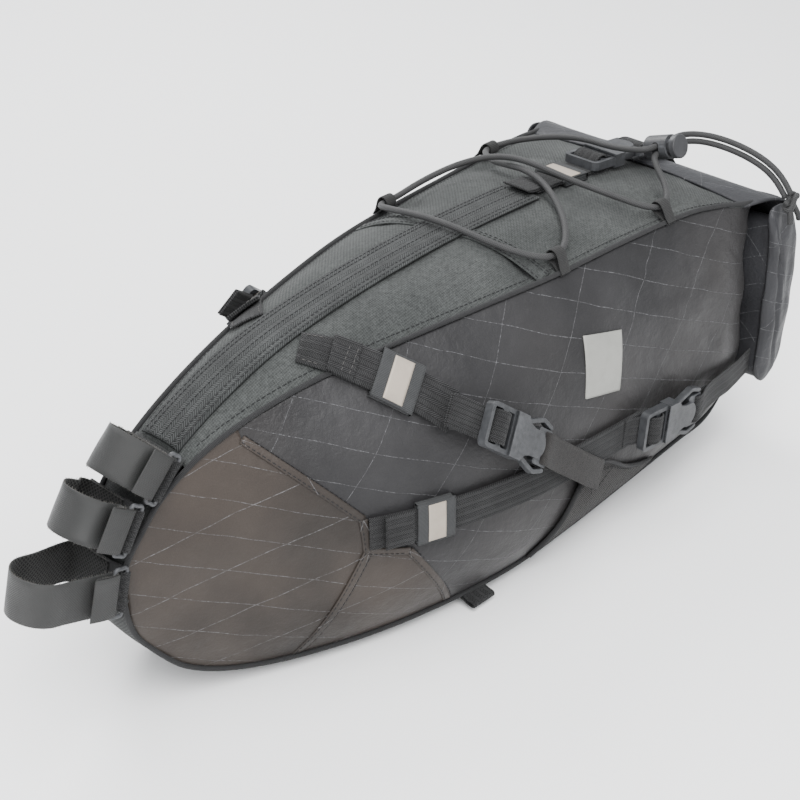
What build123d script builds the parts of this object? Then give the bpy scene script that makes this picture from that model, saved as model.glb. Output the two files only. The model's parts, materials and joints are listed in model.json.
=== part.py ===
"""Saddle bag: a tapered roll-top seat pack with seatpost straps, saddle-rail straps,
side closure straps and a shock-cord lacing on its top panel.

Row frame: +X runs from the nose (seatpost end) to the tail (roll-top end), +Z up,
-Y is the left side of the bag. The origin is the middle of the flat underside.
All sizes are in millimetres.
"""
import os
from math import atan2, cos, hypot, pi, radians, sin, sqrt, tan

from build123d import *

os.makedirs("parts", exist_ok=True)

# ---------------------------------------------------------------- driving dimensions
WALL = 2.0  # cloth wall of the bag: face fabric, foam and lining together
WEB = 20.0  # width of the rail and closure webbing
WEB_THICK = 1.2
SPINE_WEB = 30.0  # width of the webbing sewn down the middle of the top
POST_WEB = 25.0  # width of the hook-and-loop seatpost straps
POST_THICK = 1.4
CORD = 4.0  # shock cord diameter
PIPING = 3.0

# Heights above the cloth at which the sewn-on layers lie, lowest to highest.
PIPING_LAYER = (0.1, 1.0)
SEAM_LAYER = (0.1, 0.9)
WING_LAYER = (1.1, 2.0)
SPINE_LAYER = (1.1, 2.1)
LOWER_LAYER = (1.4, 1.4 + WEB_THICK)
UPPER_LAYER = (2.9, 2.9 + WEB_THICK)
KEEPER_LAYER = (1.2, 5.4)
KEEPER_HOLE = 4.4
TAB_LAYER = (4.9, 4.9 + WEB_THICK)

NOSE_SPLIT = -150.0  # the nose gusset meets the top and bottom panels here
MID_HEIGHT = 75.0  # below this a band cut is the bottom panel, above it the top panel

# One row per cross-section, from nose to tail: x, crown height, half width and height
# of the top seam, half width of the belly, height where the side ends, keel height.
STATIONS = [
    (-194, 104, 20, 100, 20, 62, 62),
    (-186, 116, 20, 112, 25, 46, 46),
    (-166, 140, 21, 134, 33, 20, 20),
    (-134, 161, 25, 153, 47, 5, 4),
    (-85, 181, 34, 168, 70, 0, 0),
    (-30, 192, 46, 176, 90, 0, 0),
    (40, 199, 60, 182, 102, 0, 0),
    (100, 201, 68, 184, 103, 3, 0),
    (160, 200, 72, 186, 102, 8, 3),
    (220, 195, 78, 187, 101, 14, 10),
    (250, 189, 84, 184, 101, 18, 15),
    (270, 184, 89, 180, 101, 34, 34),
]
HEM_RATIO = 0.84  # the lower seam sits at this share of the belly half width
KEEL_RATIO = 0.5  # the flat strip of the underside, as a share of the belly


# ---------------------------------------------------------------- the bag's skin
def side_points(row, out):
    """The left-hand side of one cross-section, from top seam to lower seam."""
    x, crown, seam_y, seam_z, belly, hem, keel = row
    tall = crown - hem
    return [
        (seam_y + 0.5 * out, seam_z + 0.85 * out),
        (seam_y + 0.72 * (belly - seam_y) + 0.95 * out, hem + 0.70 * tall + 0.3 * out),
        (belly + out, hem + 0.40 * tall),
        (0.97 * belly + 0.97 * out, hem + 0.18 * tall - 0.2 * out),
        (HEM_RATIO * belly + 0.6 * out, hem + 0.05 * tall - 0.8 * out),
    ]


def skin(out):
    """The closed form of the bag, moved outwards by `out` from its outer face."""
    first, last = STATIONS[0][0], STATIONS[-1][0]
    with BuildPart() as form:
        for row in STATIONS:
            x, crown, seam_y, seam_z, belly, hem, keel = row
            if x == first:
                x -= out
            if x == last:
                x += 3 if out < 0 else 0
            right = side_points(row, out)
            left = [(-y, z) for y, z in right]
            flat = KEEL_RATIO * belly
            with BuildSketch(Plane.YZ.offset(x)):
                with BuildLine():
                    Spline(
                        right[0],
                        (0.6 * seam_y, crown - 0.25 * (crown - seam_z) + out),
                        (0, crown + out),
                        (-0.6 * seam_y, crown - 0.25 * (crown - seam_z) + out),
                        left[0],
                    )
                    Spline(*left)
                    Line(left[-1], (-flat, keel - out))
                    Line((-flat, keel - out), (flat, keel - out))
                    Line((flat, keel - out), right[-1])
                    Spline(*reversed(right))
                make_face()
        loft(ruled=True)
    return form.part


skins = {}


def layer(low, high):
    """The thin shell of space between two heights above the cloth."""
    for out in (low, high):
        if out not in skins:
            skins[out] = skin(out)
    with BuildPart() as shell:
        add(skins[high])
        add(skins[low], mode=Mode.SUBTRACT)
    return shell.part


def plan_band(half_width, start, end, widen=0.0):
    """Plan outline of a band along the bag whose half width is read from each station."""
    rows = [row for row in STATIONS]
    edge = []
    for first, second in zip(rows, rows[1:]):
        for row in (first, second):
            if start < row[0] < end and (row[0], half_width(row) + widen) not in edge:
                edge.append((row[0], half_width(row) + widen))
        for cut in (start, end):
            if first[0] <= cut <= second[0]:
                share = (cut - first[0]) / (second[0] - first[0])
                width = half_width(first) + share * (half_width(second) - half_width(first))
                if (cut, width + widen) not in edge:
                    edge.append((cut, width + widen))
    edge.sort()
    if start < rows[0][0]:
        edge.insert(0, (start, half_width(rows[0]) + widen))
    if end > rows[-1][0]:
        edge.append((end, half_width(rows[-1]) + widen))
    return edge + [(x, -y) for x, y in reversed(edge)]


def top_width(row):
    return row[2]


def hem_width(row):
    return HEM_RATIO * row[4]


def band(half_width, start, end, bottom, top, widen=0.0):
    """A plan band made solid between two heights."""
    outline = plan_band(half_width, start, end, widen)
    with BuildPart() as block:
        with BuildSketch(Plane.XY.offset(bottom)):
            with BuildLine():
                Polyline(*outline, close=True)
            make_face()
        extrude(amount=top - bottom)
    return block.part


NOSE_END, TAIL_END = STATIONS[0][0] - 10, STATIONS[-1][0] + 5
top_band = band(top_width, NOSE_SPLIT, TAIL_END, MID_HEIGHT, 230)
bottom_band = band(hem_width, NOSE_SPLIT, TAIL_END, -20, MID_HEIGHT)
nose_band = band(top_width, NOSE_END, NOSE_SPLIT, -20, 230)
cloth = layer(-WALL, 0)


def save(part, name):
    part.label = name
    export_step(part, f"parts/{name}.step")


def save_pair(part, name):
    """Write the left piece and its mirror image on the right."""
    with BuildPart() as twin:
        mirror(part, about=Plane.XZ)
    save(part, f"{name}_left")
    save(twin.part, f"{name}_right")


# ---------------------------------------------------------------- panels
with BuildPart() as top_panel:
    add(cloth)
    add(top_band, mode=Mode.INTERSECT)
save(top_panel.part, "top_panel")

with BuildPart() as bottom_panel:
    add(cloth)
    add(bottom_band, mode=Mode.INTERSECT)
save(bottom_panel.part, "bottom_panel")

with BuildPart() as nose_panel:
    add(cloth)
    add(nose_band, mode=Mode.INTERSECT)
save(nose_panel.part, "nose_panel")

# Seams of the side, seen square on: the nose patch, the lower patch behind it and the
# main side panel meet along these lines.
PATCH_TOP = (-118, 153)
PATCH_CORNER = (-70, 97)
PATCH_NOTCH = (-69, 76)
PATCH_FOOT = (-112, -10)
LOWER_TOP = (-45, 69)
LOWER_FOOT = (5, -10)
nose_patch_outline = [
    (-210, -10), PATCH_FOOT, PATCH_NOTCH, PATCH_CORNER, PATCH_TOP, (-122, 215), (-210, 215),
]
lower_patch_outline = [PATCH_FOOT, LOWER_FOOT, LOWER_TOP, PATCH_NOTCH]


def side_cut(outline):
    """A side-view outline made solid over the left half of the bag."""
    with BuildPart() as block:
        with BuildSketch(Plane.XZ):
            with BuildLine():
                Polyline(*outline, close=True)
            make_face()
        extrude(amount=140)
    return block.part


nose_cut = side_cut(nose_patch_outline)
lower_cut = side_cut(lower_patch_outline)
left_half = side_cut([(-230, -30), (300, -30), (300, 230), (-230, 230)])

with BuildPart() as side_wall:
    add(cloth)
    add(top_band, mode=Mode.SUBTRACT)
    add(bottom_band, mode=Mode.SUBTRACT)
    add(nose_band, mode=Mode.SUBTRACT)
    add(left_half, mode=Mode.INTERSECT)

with BuildPart() as nose_patch:
    add(side_wall.part)
    add(nose_cut, mode=Mode.INTERSECT)
save_pair(nose_patch.part, "nose_patch")

with BuildPart() as lower_patch:
    add(side_wall.part)
    add(lower_cut, mode=Mode.INTERSECT)
save_pair(lower_patch.part, "lower_patch")

with BuildPart() as side_panel:
    add(side_wall.part)
    add(nose_cut, mode=Mode.SUBTRACT)
    add(lower_cut, mode=Mode.SUBTRACT)
save_pair(side_panel.part, "side_panel")

# Triangular wing that the rail strap's tab is sewn to; it comes round from underneath.
wing_outline = [(113, 66), (132, 53), (175, 36), (185, -20), (40, -20), (52, 8), (87, 59)]
with BuildPart() as wing:
    add(layer(*WING_LAYER))
    add(side_cut(wing_outline), mode=Mode.INTERSECT)
    with BuildSketch(Plane.XZ.offset(40)):
        with Locations((110, 38)):
            Rectangle(180, 74)
    extrude(amount=100, mode=Mode.INTERSECT)
save_pair(wing.part, "wing")

# Stiffening sheet on the floor of the bag.
with BuildPart() as frame_sheet:
    add(layer(-3.4, -2.2))
    with BuildSketch(Plane.XY.offset(-20)):
        RectangleRounded(240, 84, 20)
    extrude(amount=60, mode=Mode.INTERSECT)
save(frame_sheet.part, "frame_sheet")

# Piping: a cord-filled edge sewn in all round each side panel.
piping_shell = layer(*PIPING_LAYER)
HALF = PIPING / 2
with BuildPart() as piping_top:
    add(piping_shell)
    add(band(top_width, NOSE_SPLIT, TAIL_END, MID_HEIGHT, 230, HALF), mode=Mode.INTERSECT)
    add(band(top_width, NOSE_SPLIT - 9, TAIL_END + 9, 0, 240, -HALF), mode=Mode.SUBTRACT)
with BuildPart() as piping_hem:
    add(piping_shell)
    add(band(hem_width, NOSE_SPLIT, TAIL_END, -20, MID_HEIGHT, HALF), mode=Mode.INTERSECT)
    add(band(hem_width, NOSE_SPLIT - 9, TAIL_END + 9, -30, 90, -HALF), mode=Mode.SUBTRACT)
with BuildPart() as piping_nose:
    add(piping_shell)
    add(band(top_width, NOSE_END, NOSE_SPLIT, -20, 230, HALF), mode=Mode.INTERSECT)
    add(band(top_width, NOSE_END - 9, NOSE_SPLIT + 9, -30, 240, -HALF), mode=Mode.SUBTRACT)
with BuildPart() as side_piping:
    add(piping_top.part)
    add(piping_hem.part)
    add(piping_nose.part)
save(side_piping.part, "side_piping")


# ---------------------------------------------------------------- straps on the skin
def unit(v):
    return v / v.length


def strap_plane(start, end, normal):
    """Plane with x along the strap, y across it and z out of the cloth."""
    along = unit(Vector(end) - Vector(start))
    out = Vector(normal)
    out = unit(out - along * out.dot(along))
    return Plane(origin=start, x_dir=along, z_dir=out)


def strap(start, end, normal, width, low, high, reach=60, sink=16):
    """A flat strap that follows the skin from start to end between two heights."""
    plane = strap_plane(start, end, normal)
    long = (Vector(end) - Vector(start)).length
    shell = layer(low, high)
    with BuildPart() as piece:
        add(shell)
        with BuildSketch(plane.offset(-sink)):
            with Locations((long / 2, 0)):
                Rectangle(long, width)
        extrude(amount=reach + sink, mode=Mode.INTERSECT)
    return piece.part


def keeper(start, end, normal):
    """Elastic band over both layers of a strap, open underneath where it is sewn down."""
    cover = strap(start, end, normal, WEB + 3.4, *KEEPER_LAYER)
    hollow = strap(start, end, normal, WEB + 0.8, KEEPER_LAYER[0], KEEPER_HOLE)
    with BuildPart() as piece:
        add(cover)
        add(hollow, mode=Mode.SUBTRACT)
    return piece.part


spine_webbing = strap((-148, 0, 152), (148, 0, 200), (0, 0, 1), SPINE_WEB, *SPINE_LAYER, 80, 40)
save(spine_webbing, "spine_webbing")
cross_seam = strap((90, -60, 184), (66, 53, 184), (0, 0, 1), 12, *SEAM_LAYER)
save(cross_seam, "cross_seam")

# Rail strap: from the spine over the shoulder and down the side to its buckle.
RAIL_ROOT = (-65, -20.5, 183)
RAIL_BUCKLE = Vector(29, -108, 118)  # middle of the rail buckle, between its two plates
RAIL_ALONG = unit(Vector(0.775, -0.13, -0.619))
RAIL_OUT = unit(Vector(0.06, -0.965, 0.28))
RAIL_OUT = unit(RAIL_OUT - RAIL_ALONG * RAIL_OUT.dot(RAIL_ALONG))
RAIL_STRAP_END = tuple(RAIL_BUCKLE - RAIL_ALONG * 24 - RAIL_OUT * 9)
SHOULDER = (0.25, -0.62, 0.72)


def along_rail(share):
    root, end = Vector(RAIL_ROOT), Vector(RAIL_STRAP_END)
    return tuple(root + (end - root) * share)


rail_lower = strap(RAIL_ROOT, RAIL_STRAP_END, SHOULDER, WEB, *LOWER_LAYER)
rail_upper = strap(along_rail(0.16), RAIL_STRAP_END, SHOULDER, WEB, *UPPER_LAYER)
with BuildPart() as rail_strap:
    add(rail_lower)
    add(rail_upper)
save_pair(rail_strap.part, "rail_strap")
save_pair(keeper(along_rail(0.36), along_rail(0.60), SHOULDER), "rail_keeper")

TAB_START = tuple(RAIL_BUCKLE + RAIL_ALONG * 20.5 - RAIL_OUT * 5)
TAB_END = (101, -106, 62)
rail_tab = strap(TAB_START, TAB_END, (0, -1, 0.1), WEB, *TAB_LAYER)
save_pair(rail_tab, "rail_tab")

# Closure strap: from the nose patch along the side to the closure buckle.
CLOSE_BUCKLE = Vector(176, -113, 73)
CLOSE_ALONG = Vector(cos(radians(5.7)), 0, -sin(radians(5.7)))
CLOSE_OUT = Vector(0, -1, 0)
CLOSE_ROOT = (-68, -76, 88)
CLOSE_END = tuple(CLOSE_BUCKLE - CLOSE_ALONG * 26 - CLOSE_OUT * 10)


def along_close(share):
    root, end = Vector(CLOSE_ROOT), Vector(CLOSE_END)
    return tuple(root + (end - root) * share)


close_lower = strap(CLOSE_ROOT, CLOSE_END, CLOSE_OUT, WEB, *LOWER_LAYER)
close_upper = strap(along_close(0.04), CLOSE_END, CLOSE_OUT, WEB, *UPPER_LAYER)
with BuildPart() as closure_strap:
    add(close_lower)
    add(close_upper)
save_pair(closure_strap.part, "closure_strap")
save_pair(keeper(along_close(0.12), along_close(0.24), CLOSE_OUT), "closure_keeper")

# Top strap: carries on from the spine webbing to the middle buckle of the closure.
TOP_BUCKLE = Vector(245, 0, 199.5)
TOP_OUT = Vector(sin(radians(5.7)), 0, cos(radians(5.7)))
top_lower = strap((152, 0, 200), (219, 0, 197), (0, 0, 1), WEB, *LOWER_LAYER)
top_upper = strap((142, 0, 200), (219, 0, 197), (0, 0, 1), WEB, *UPPER_LAYER)
with BuildPart() as top_strap:
    add(top_lower)
    add(top_upper)
save(top_strap.part, "top_strap")
save(keeper((174, 0, 200), (199, 0, 198), (0, 0, 1)), "top_keeper")


# ---------------------------------------------------------------- side-release buckles
FRAME_START, FRAME_LENGTH, FRAME_WIDTH, FRAME_THICK = -40.0, 22.0, 26.5, 5.5
BODY_THICK, CAVITY_THICK, PLUG_THICK = 9.0, 5.2, 4.4
BODY_HALF = 13.2
PIVOT = (17.0, 12.8)  # root of a plug arm, along and across the buckle
ARM_WIDTH = 2.8


def buckle_plane(centre, along, out):
    return Plane(origin=centre, x_dir=along, z_dir=out)


def socket(plane):
    """Female half: a ladder-lock frame for the webbing and two plates for the plug."""
    with BuildPart() as piece:
        with BuildSketch(plane.offset(-FRAME_THICK / 2)):
            with Locations((FRAME_START + FRAME_LENGTH / 2 + 1, 0)):
                RectangleRounded(FRAME_LENGTH + 2, FRAME_WIDTH, 3.5)
        extrude(amount=FRAME_THICK)
        with BuildSketch(plane.offset(-BODY_THICK / 2)):
            with BuildLine():
                upper = [(-18, BODY_HALF), (-8, BODY_HALF), (-5, 9.5), (0, 8), (7, 8)]
                Polyline(*upper)
                ThreePointArc((7, 8), (12, 0), (7, -8))
                Polyline(*[(x, -y) for x, y in reversed(upper)])
                Line((-18, -BODY_HALF), (-18, BODY_HALF))
            make_face()
        extrude(amount=BODY_THICK)
        with BuildSketch(plane.offset(-CAVITY_THICK / 2)):
            with Locations((0.5, 0)):
                Rectangle(29, 22.8)
        extrude(amount=CAVITY_THICK, mode=Mode.SUBTRACT)
        with BuildSketch(plane.offset(-BODY_THICK)):
            with Locations((FRAME_START + 6.2, 0)):
                RectangleRounded(7.2, WEB + 1, 1.2)
            with Locations((FRAME_START + 17.2, 0)):
                RectangleRounded(6.4, WEB + 1, 1.2)
        extrude(amount=2 * BODY_THICK, mode=Mode.SUBTRACT)
    return piece.part


def plug_base(plane):
    """Male half without its arms: webbing bar, base plate and centre blade."""
    with BuildPart() as piece:
        with BuildSketch(plane.offset(-PLUG_THICK / 2)):
            with Locations((12.5, 0)):
                RectangleRounded(13, 22, 2)
            with Locations((-1, 0)):
                Rectangle(18, 6)
            with Locations((14.6, 0)):
                Rectangle(3.2, WEB - 1, mode=Mode.SUBTRACT)
        extrude(amount=PLUG_THICK)
        with BuildSketch(plane.offset(-PLUG_THICK)):
            with Locations((PIVOT[0], PIVOT[1]), (PIVOT[0], -PIVOT[1])):
                Circle(ARM_WIDTH / 2 + 0.35)
        extrude(amount=2 * PLUG_THICK, mode=Mode.SUBTRACT)
    return piece.part


def plug_arm(plane, side):
    """One springy arm: it bows out beside the base and runs forward into the socket."""
    route = [PIVOT, (9, 15.4), (1, 12.6), (-6, 9.7), (-12.5, 9.5)]
    with BuildPart() as piece:
        with BuildSketch(plane.offset(-PLUG_THICK / 2)):
            with BuildLine() as line:
                FilletPolyline(*[(x, side * y) for x, y in route], radius=5)
            trace(line_width=ARM_WIDTH)
            with Locations((PIVOT[0], side * PIVOT[1])):
                Circle(ARM_WIDTH / 2)
            with Locations((-12.5, side * 9.5)):
                Circle(ARM_WIDTH / 2)
        extrude(amount=PLUG_THICK)
    return piece.part


def plain_plug(plane):
    """Plug in one piece, arms and all."""
    with BuildPart() as piece:
        with BuildSketch(plane.offset(-PLUG_THICK / 2)):
            with Locations((12.5, 0)):
                RectangleRounded(13, 27, 2)
            with Locations((-1, 0)):
                Rectangle(18, 6)
            with Locations((-2, 9.6), (-2, -9.6)):
                RectangleRounded(22, 2.8, 1.3)
            with Locations((14.6, 0)):
                Rectangle(3.2, WEB - 1, mode=Mode.SUBTRACT)
        extrude(amount=PLUG_THICK)
    return piece.part


rail_plane = buckle_plane(RAIL_BUCKLE, RAIL_ALONG, RAIL_OUT)
close_plane = buckle_plane(CLOSE_BUCKLE, CLOSE_ALONG, CLOSE_OUT)
top_plane = buckle_plane(TOP_BUCKLE, CLOSE_ALONG, TOP_OUT)
for name, plane in (("rail", rail_plane), ("closure", close_plane)):
    save_pair(socket(plane), f"{name}_socket")
    save_pair(plug_base(plane), f"{name}_plug")
    save_pair(plug_arm(plane, 1), f"{name}_arm_a")
    save_pair(plug_arm(plane, -1), f"{name}_arm_b")
save(socket(top_plane), "top_socket")
save(plain_plug(top_plane), "top_plug")

# ---------------------------------------------------------------- roll-top closure
ROLL_HALF = 103.0
ROLL_CLOTH = 2.2
# Flattened spiral of the rolled mouth, seen from the side, from its free edge inwards.
ROLL_PATH = [
    (275, 120), (275, 177), (300, 171), (311, 142), (296, 48), (281, 46),
    (281.5, 160), (295, 160), (303, 140), (291, 62), (287.5, 62), (287.5, 140),
]
ROLL_RADII = [9, 9, 12, 7, 6, 5, 5, 8, 1.6, 1.6]
with BuildPart() as roll_top:
    with BuildSketch(Plane.XZ.offset(-ROLL_HALF)):
        with BuildLine():
            FilletPolyline(*ROLL_PATH, radius=ROLL_RADII)
        trace(line_width=ROLL_CLOTH)
    extrude(amount=2 * ROLL_HALF)
save(roll_top.part, "roll_top")

# The three webbing tails that hold the closure plugs to the roll.
TAIL_GAP = 1.6
with BuildPart() as closure_tails:
    for side in (1, -1):
        start = CLOSE_BUCKLE + CLOSE_ALONG * 19.4
        plane = Plane(
            origin=(start.X, side * (ROLL_HALF + TAIL_GAP), start.Z),
            x_dir=CLOSE_ALONG,
            z_dir=(0, side, 0),
        )
        with BuildSketch(plane):
            with Locations((51, 0)):
                Rectangle(102, WEB)
        extrude(amount=WEB_THICK)
    with BuildSketch(top_plane.offset(-WEB_THICK / 2)):
        with Locations((26, 0)):
            Rectangle(13, WEB)
    extrude(amount=WEB_THICK)
save(closure_tails.part, "closure_tails")

# ---------------------------------------------------------------- seatpost straps
RING_BAR = 2.0
RING_SPAN = 8.0
TIP_RADIUS = 16.5  # centre line of the strap where it goes round the seatpost


class PostLoop:
    """Where one seatpost strap stands on the nose and how far it reaches."""

    def __init__(self, name, x, z, tilt, reach):
        self.name = name
        self.reach = reach
        out = Vector(-cos(radians(tilt)), 0, sin(radians(tilt)))
        self.up = Vector(sin(radians(tilt)), 0, cos(radians(tilt)))
        self.plane = Plane(origin=(x, 0, z), x_dir=out, z_dir=self.up)


POST_LOOPS = [
    PostLoop("bottom", -200.5, 93, 15, 36.0),
    PostLoop("middle", -190.6, 127, 32, 13.0),
    PostLoop("top", -166.0, 147, 44, 10.0),
]
NEAR_Y, FAR_Y = 22.5, 17.0
LOOP_CENTRE_Y = 3.0  # the round end sits a little to the left of the middle


def tangent_point(px, py, cx, cy, radius, turn):
    """Where the line from (px, py) touches the circle about (cx, cy)."""
    dx, dy = px - cx, py - cy
    reach = hypot(dx, dy)
    angle = atan2(dy, dx) + turn * atan2(sqrt(reach**2 - radius**2), radius)
    return (cx + radius * cos(angle), cy + radius * sin(angle))


def round_end(centre, near, far):
    """The part of a strap that goes round the seatpost, from one tangent point to the other."""
    cx, cy = centre
    back = cx - 2 * TIP_RADIUS
    with BuildSketch() as ring:
        with Locations(centre):
            Circle(TIP_RADIUS + POST_THICK / 2)
            Circle(TIP_RADIUS - POST_THICK / 2, mode=Mode.SUBTRACT)
        spread = [(cx + 2 * (x - cx), cy + 2 * (y - cy)) for x, y in (near, far)]
        with BuildLine():
            Polyline(centre, spread[0], (back, 2 * TIP_RADIUS), (back, -2 * TIP_RADIUS), spread[1],
                     centre)
        make_face(mode=Mode.SUBTRACT)
    return ring.sketch


def post_strap(loop):
    """Strap sewn across the nose, out round the seatpost and back through its ring."""
    centre = (loop.reach, LOOP_CENTRE_Y)
    near = tangent_point(9.5, NEAR_Y, *centre, TIP_RADIUS, -1)
    far = tangent_point(0, -FAR_Y, *centre, TIP_RADIUS, 1)
    fold = 1.8
    with BuildPart() as piece:
        with BuildSketch(loop.plane.offset(-POST_WEB / 2)):
            with BuildLine():
                FilletPolyline((0, 12), (0, -FAR_Y), far, radius=2.0)
            trace(line_width=POST_THICK)
            with BuildLine():
                Line(near, (5.5, NEAR_Y))
                ThreePointArc(
                    (5.5, NEAR_Y), (5.5 - fold, NEAR_Y + fold), (5.5, NEAR_Y + 2 * fold)
                )
                Line((5.5, NEAR_Y + 2 * fold), (18, NEAR_Y + 2 * fold))
            trace(line_width=POST_THICK)
            add(round_end(centre, near, far))
        extrude(amount=POST_WEB)
    return piece.part


for loop in POST_LOOPS:
    save(post_strap(loop), f"post_strap_{loop.name}")

with BuildPart() as post_rings:
    for loop in POST_LOOPS:
        with BuildSketch(loop.plane.offset(-POST_WEB / 2 - 0.6 - RING_BAR)):
            with Locations((5.5 - RING_SPAN / 2, NEAR_Y + 1.8)):
                Rectangle(RING_SPAN + RING_BAR, RING_BAR)
        extrude(amount=RING_BAR)
        with BuildSketch(loop.plane.offset(POST_WEB / 2 + 0.6)):
            with Locations((5.5 - RING_SPAN / 2, NEAR_Y + 1.8)):
                Rectangle(RING_SPAN + RING_BAR, RING_BAR)
        extrude(amount=RING_BAR)
        with BuildSketch(loop.plane.offset(-POST_WEB / 2 - 0.6)):
            with Locations((5.5, NEAR_Y + 1.8), (5.5 - RING_SPAN, NEAR_Y + 1.8)):
                Circle(RING_BAR / 2)
        extrude(amount=POST_WEB + 1.2)
save(post_rings.part, "post_rings")

# Webbing pads that the straps and rings are sewn to, filling in to the nose gusset.
outer_skin = skin(PIPING_LAYER[1] + 0.2)
with BuildPart() as post_anchors:
    for loop in POST_LOOPS:
        with BuildSketch(loop.plane.offset(-POST_WEB / 2 + 0.5)):
            with Locations((-8.2, -1)):
                Rectangle(14, 32)
        extrude(amount=POST_WEB - 1)
        with BuildSketch(loop.plane.offset(-POST_WEB / 2 + 0.5)):
            with BuildLine():
                Polyline((-4.8, NEAR_Y + 1), (-12, 12))
            trace(line_width=WEB_THICK)
        extrude(amount=POST_WEB - 1)
    add(outer_skin, mode=Mode.SUBTRACT)
save(post_anchors.part, "post_anchors")

# Small webbing loop sewn into the left lower seam.
with BuildPart() as bottom_loop:
    with BuildSketch(Plane.XY.offset(3)):
        with Locations((14, -86)):
            RectangleRounded(30, 22, 4)
        with Locations((14, -90)):
            Rectangle(20, 6, mode=Mode.SUBTRACT)
    extrude(amount=1.6)
    add(skin(0.3), mode=Mode.SUBTRACT)
save(bottom_loop.part, "bottom_loop")

# ---------------------------------------------------------------- shock-cord lacing
LOOP_TAPE = 8.0
LOOP_LEAN = 9.0  # how far a tape loop lies in over the top panel before its bight
LOOP_RISE = 3.0  # its height above the panel
BIGHT = 4.0
# Where each tape loop leaves the top seam: x, half width, seam height, crown height, side.
CORD_LOOPS = [
    (105, 68, 184, 201, -1),
    (90, 67, 184, 201, 1),
    (200, 76, 187, 197, -1),
    (197, 76, 187, 197, 1),
]


def tape_loop(x, seam_y, seam_z, crown, side):
    """Tape loop that lies in over the top panel and holds the cord in its bight."""
    slope = 0.75 * (crown - seam_z) / (0.4 * seam_y)
    plane = Plane(
        origin=(x - LOOP_TAPE / 2, side * seam_y, seam_z),
        x_dir=(0, -side, slope),
        z_dir=(1, 0, 0),
    )
    up = -side
    low, high = up * LOOP_RISE, up * (LOOP_RISE + 2 * BIGHT)
    with BuildPart() as piece:
        with BuildSketch(plane):
            with BuildLine():
                Line((-3, low), (LOOP_LEAN, low))
                ThreePointArc(
                    (LOOP_LEAN, low), (LOOP_LEAN + BIGHT, (low + high) / 2), (LOOP_LEAN, high)
                )
                Line((LOOP_LEAN, high), (-2, low + up * 1.6))
            trace(line_width=1.0)
        extrude(amount=LOOP_TAPE)
    return piece.part


with BuildPart() as cord_loops:
    for row in CORD_LOOPS:
        add(tape_loop(*row))
save(cord_loops.part, "cord_loops")

# Cord lock: a barrel with a sprung button, lying across the two strands of the cord.
LOCK_BASE = Vector(244, -27, 209.5)
LOCK_AXIS = Vector(0, -cos(radians(18.7)), sin(radians(18.7)))
LOCK_ACROSS = Vector(1, 0, 0)
STRAND_DEPTH = 10.4  # where the strands pass, along the lock from its closed end
BUTTON_TRAVEL = 3.0
lock_plane = Plane(origin=LOCK_BASE, x_dir=LOCK_ACROSS, z_dir=LOCK_AXIS)
strand_plane = Plane(origin=LOCK_BASE, x_dir=LOCK_AXIS, z_dir=LOCK_ACROSS)

with BuildPart() as cord_lock:
    with BuildSketch(lock_plane):
        Circle(8)
    extrude(amount=18.2)
    fillet(cord_lock.edges().filter_by(GeomType.CIRCLE).group_by(Axis(LOCK_BASE, LOCK_AXIS))[0], 1.5)
    with BuildSketch(lock_plane.offset(2)):
        Circle(6.2)
    extrude(amount=20, mode=Mode.SUBTRACT)
    with BuildSketch(strand_plane):
        with Locations((STRAND_DEPTH, 0)):
            RectangleRounded(5.2, 9.8, 2.0)
    extrude(amount=12, both=True, mode=Mode.SUBTRACT)
save(cord_lock.part, "cord_lock")

with BuildPart() as lock_button:
    with BuildSketch(lock_plane.offset(6.4)):
        Circle(5.9)
    extrude(amount=16)
    with BuildSketch(lock_plane.offset(21.4)):
        Circle(7.8)
    extrude(amount=4.1)
    fillet(lock_button.edges().filter_by(GeomType.CIRCLE).group_by(Axis(LOCK_BASE, LOCK_AXIS))[-1], 1.0)
    with BuildSketch(strand_plane):
        with Locations((STRAND_DEPTH + BUTTON_TRAVEL / 2, 0)):
            RectangleRounded(5.2 + BUTTON_TRAVEL, 9.8, 2.0)
    extrude(amount=12, both=True, mode=Mode.SUBTRACT)
save(lock_button.part, "lock_button")

SPRING_WIRE = 0.5
with BuildPart() as lock_spring:
    with BuildLine():
        coil = Helix(
            pitch=0.7, height=0.7, radius=4, center=LOCK_BASE + LOCK_AXIS * 2.35, direction=LOCK_AXIS
        )
    with BuildSketch(Plane(origin=coil @ 0, z_dir=coil % 0)):
        Circle(SPRING_WIRE / 2)
    sweep(is_frenet=True)
save(lock_spring.part, "lock_spring")

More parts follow.
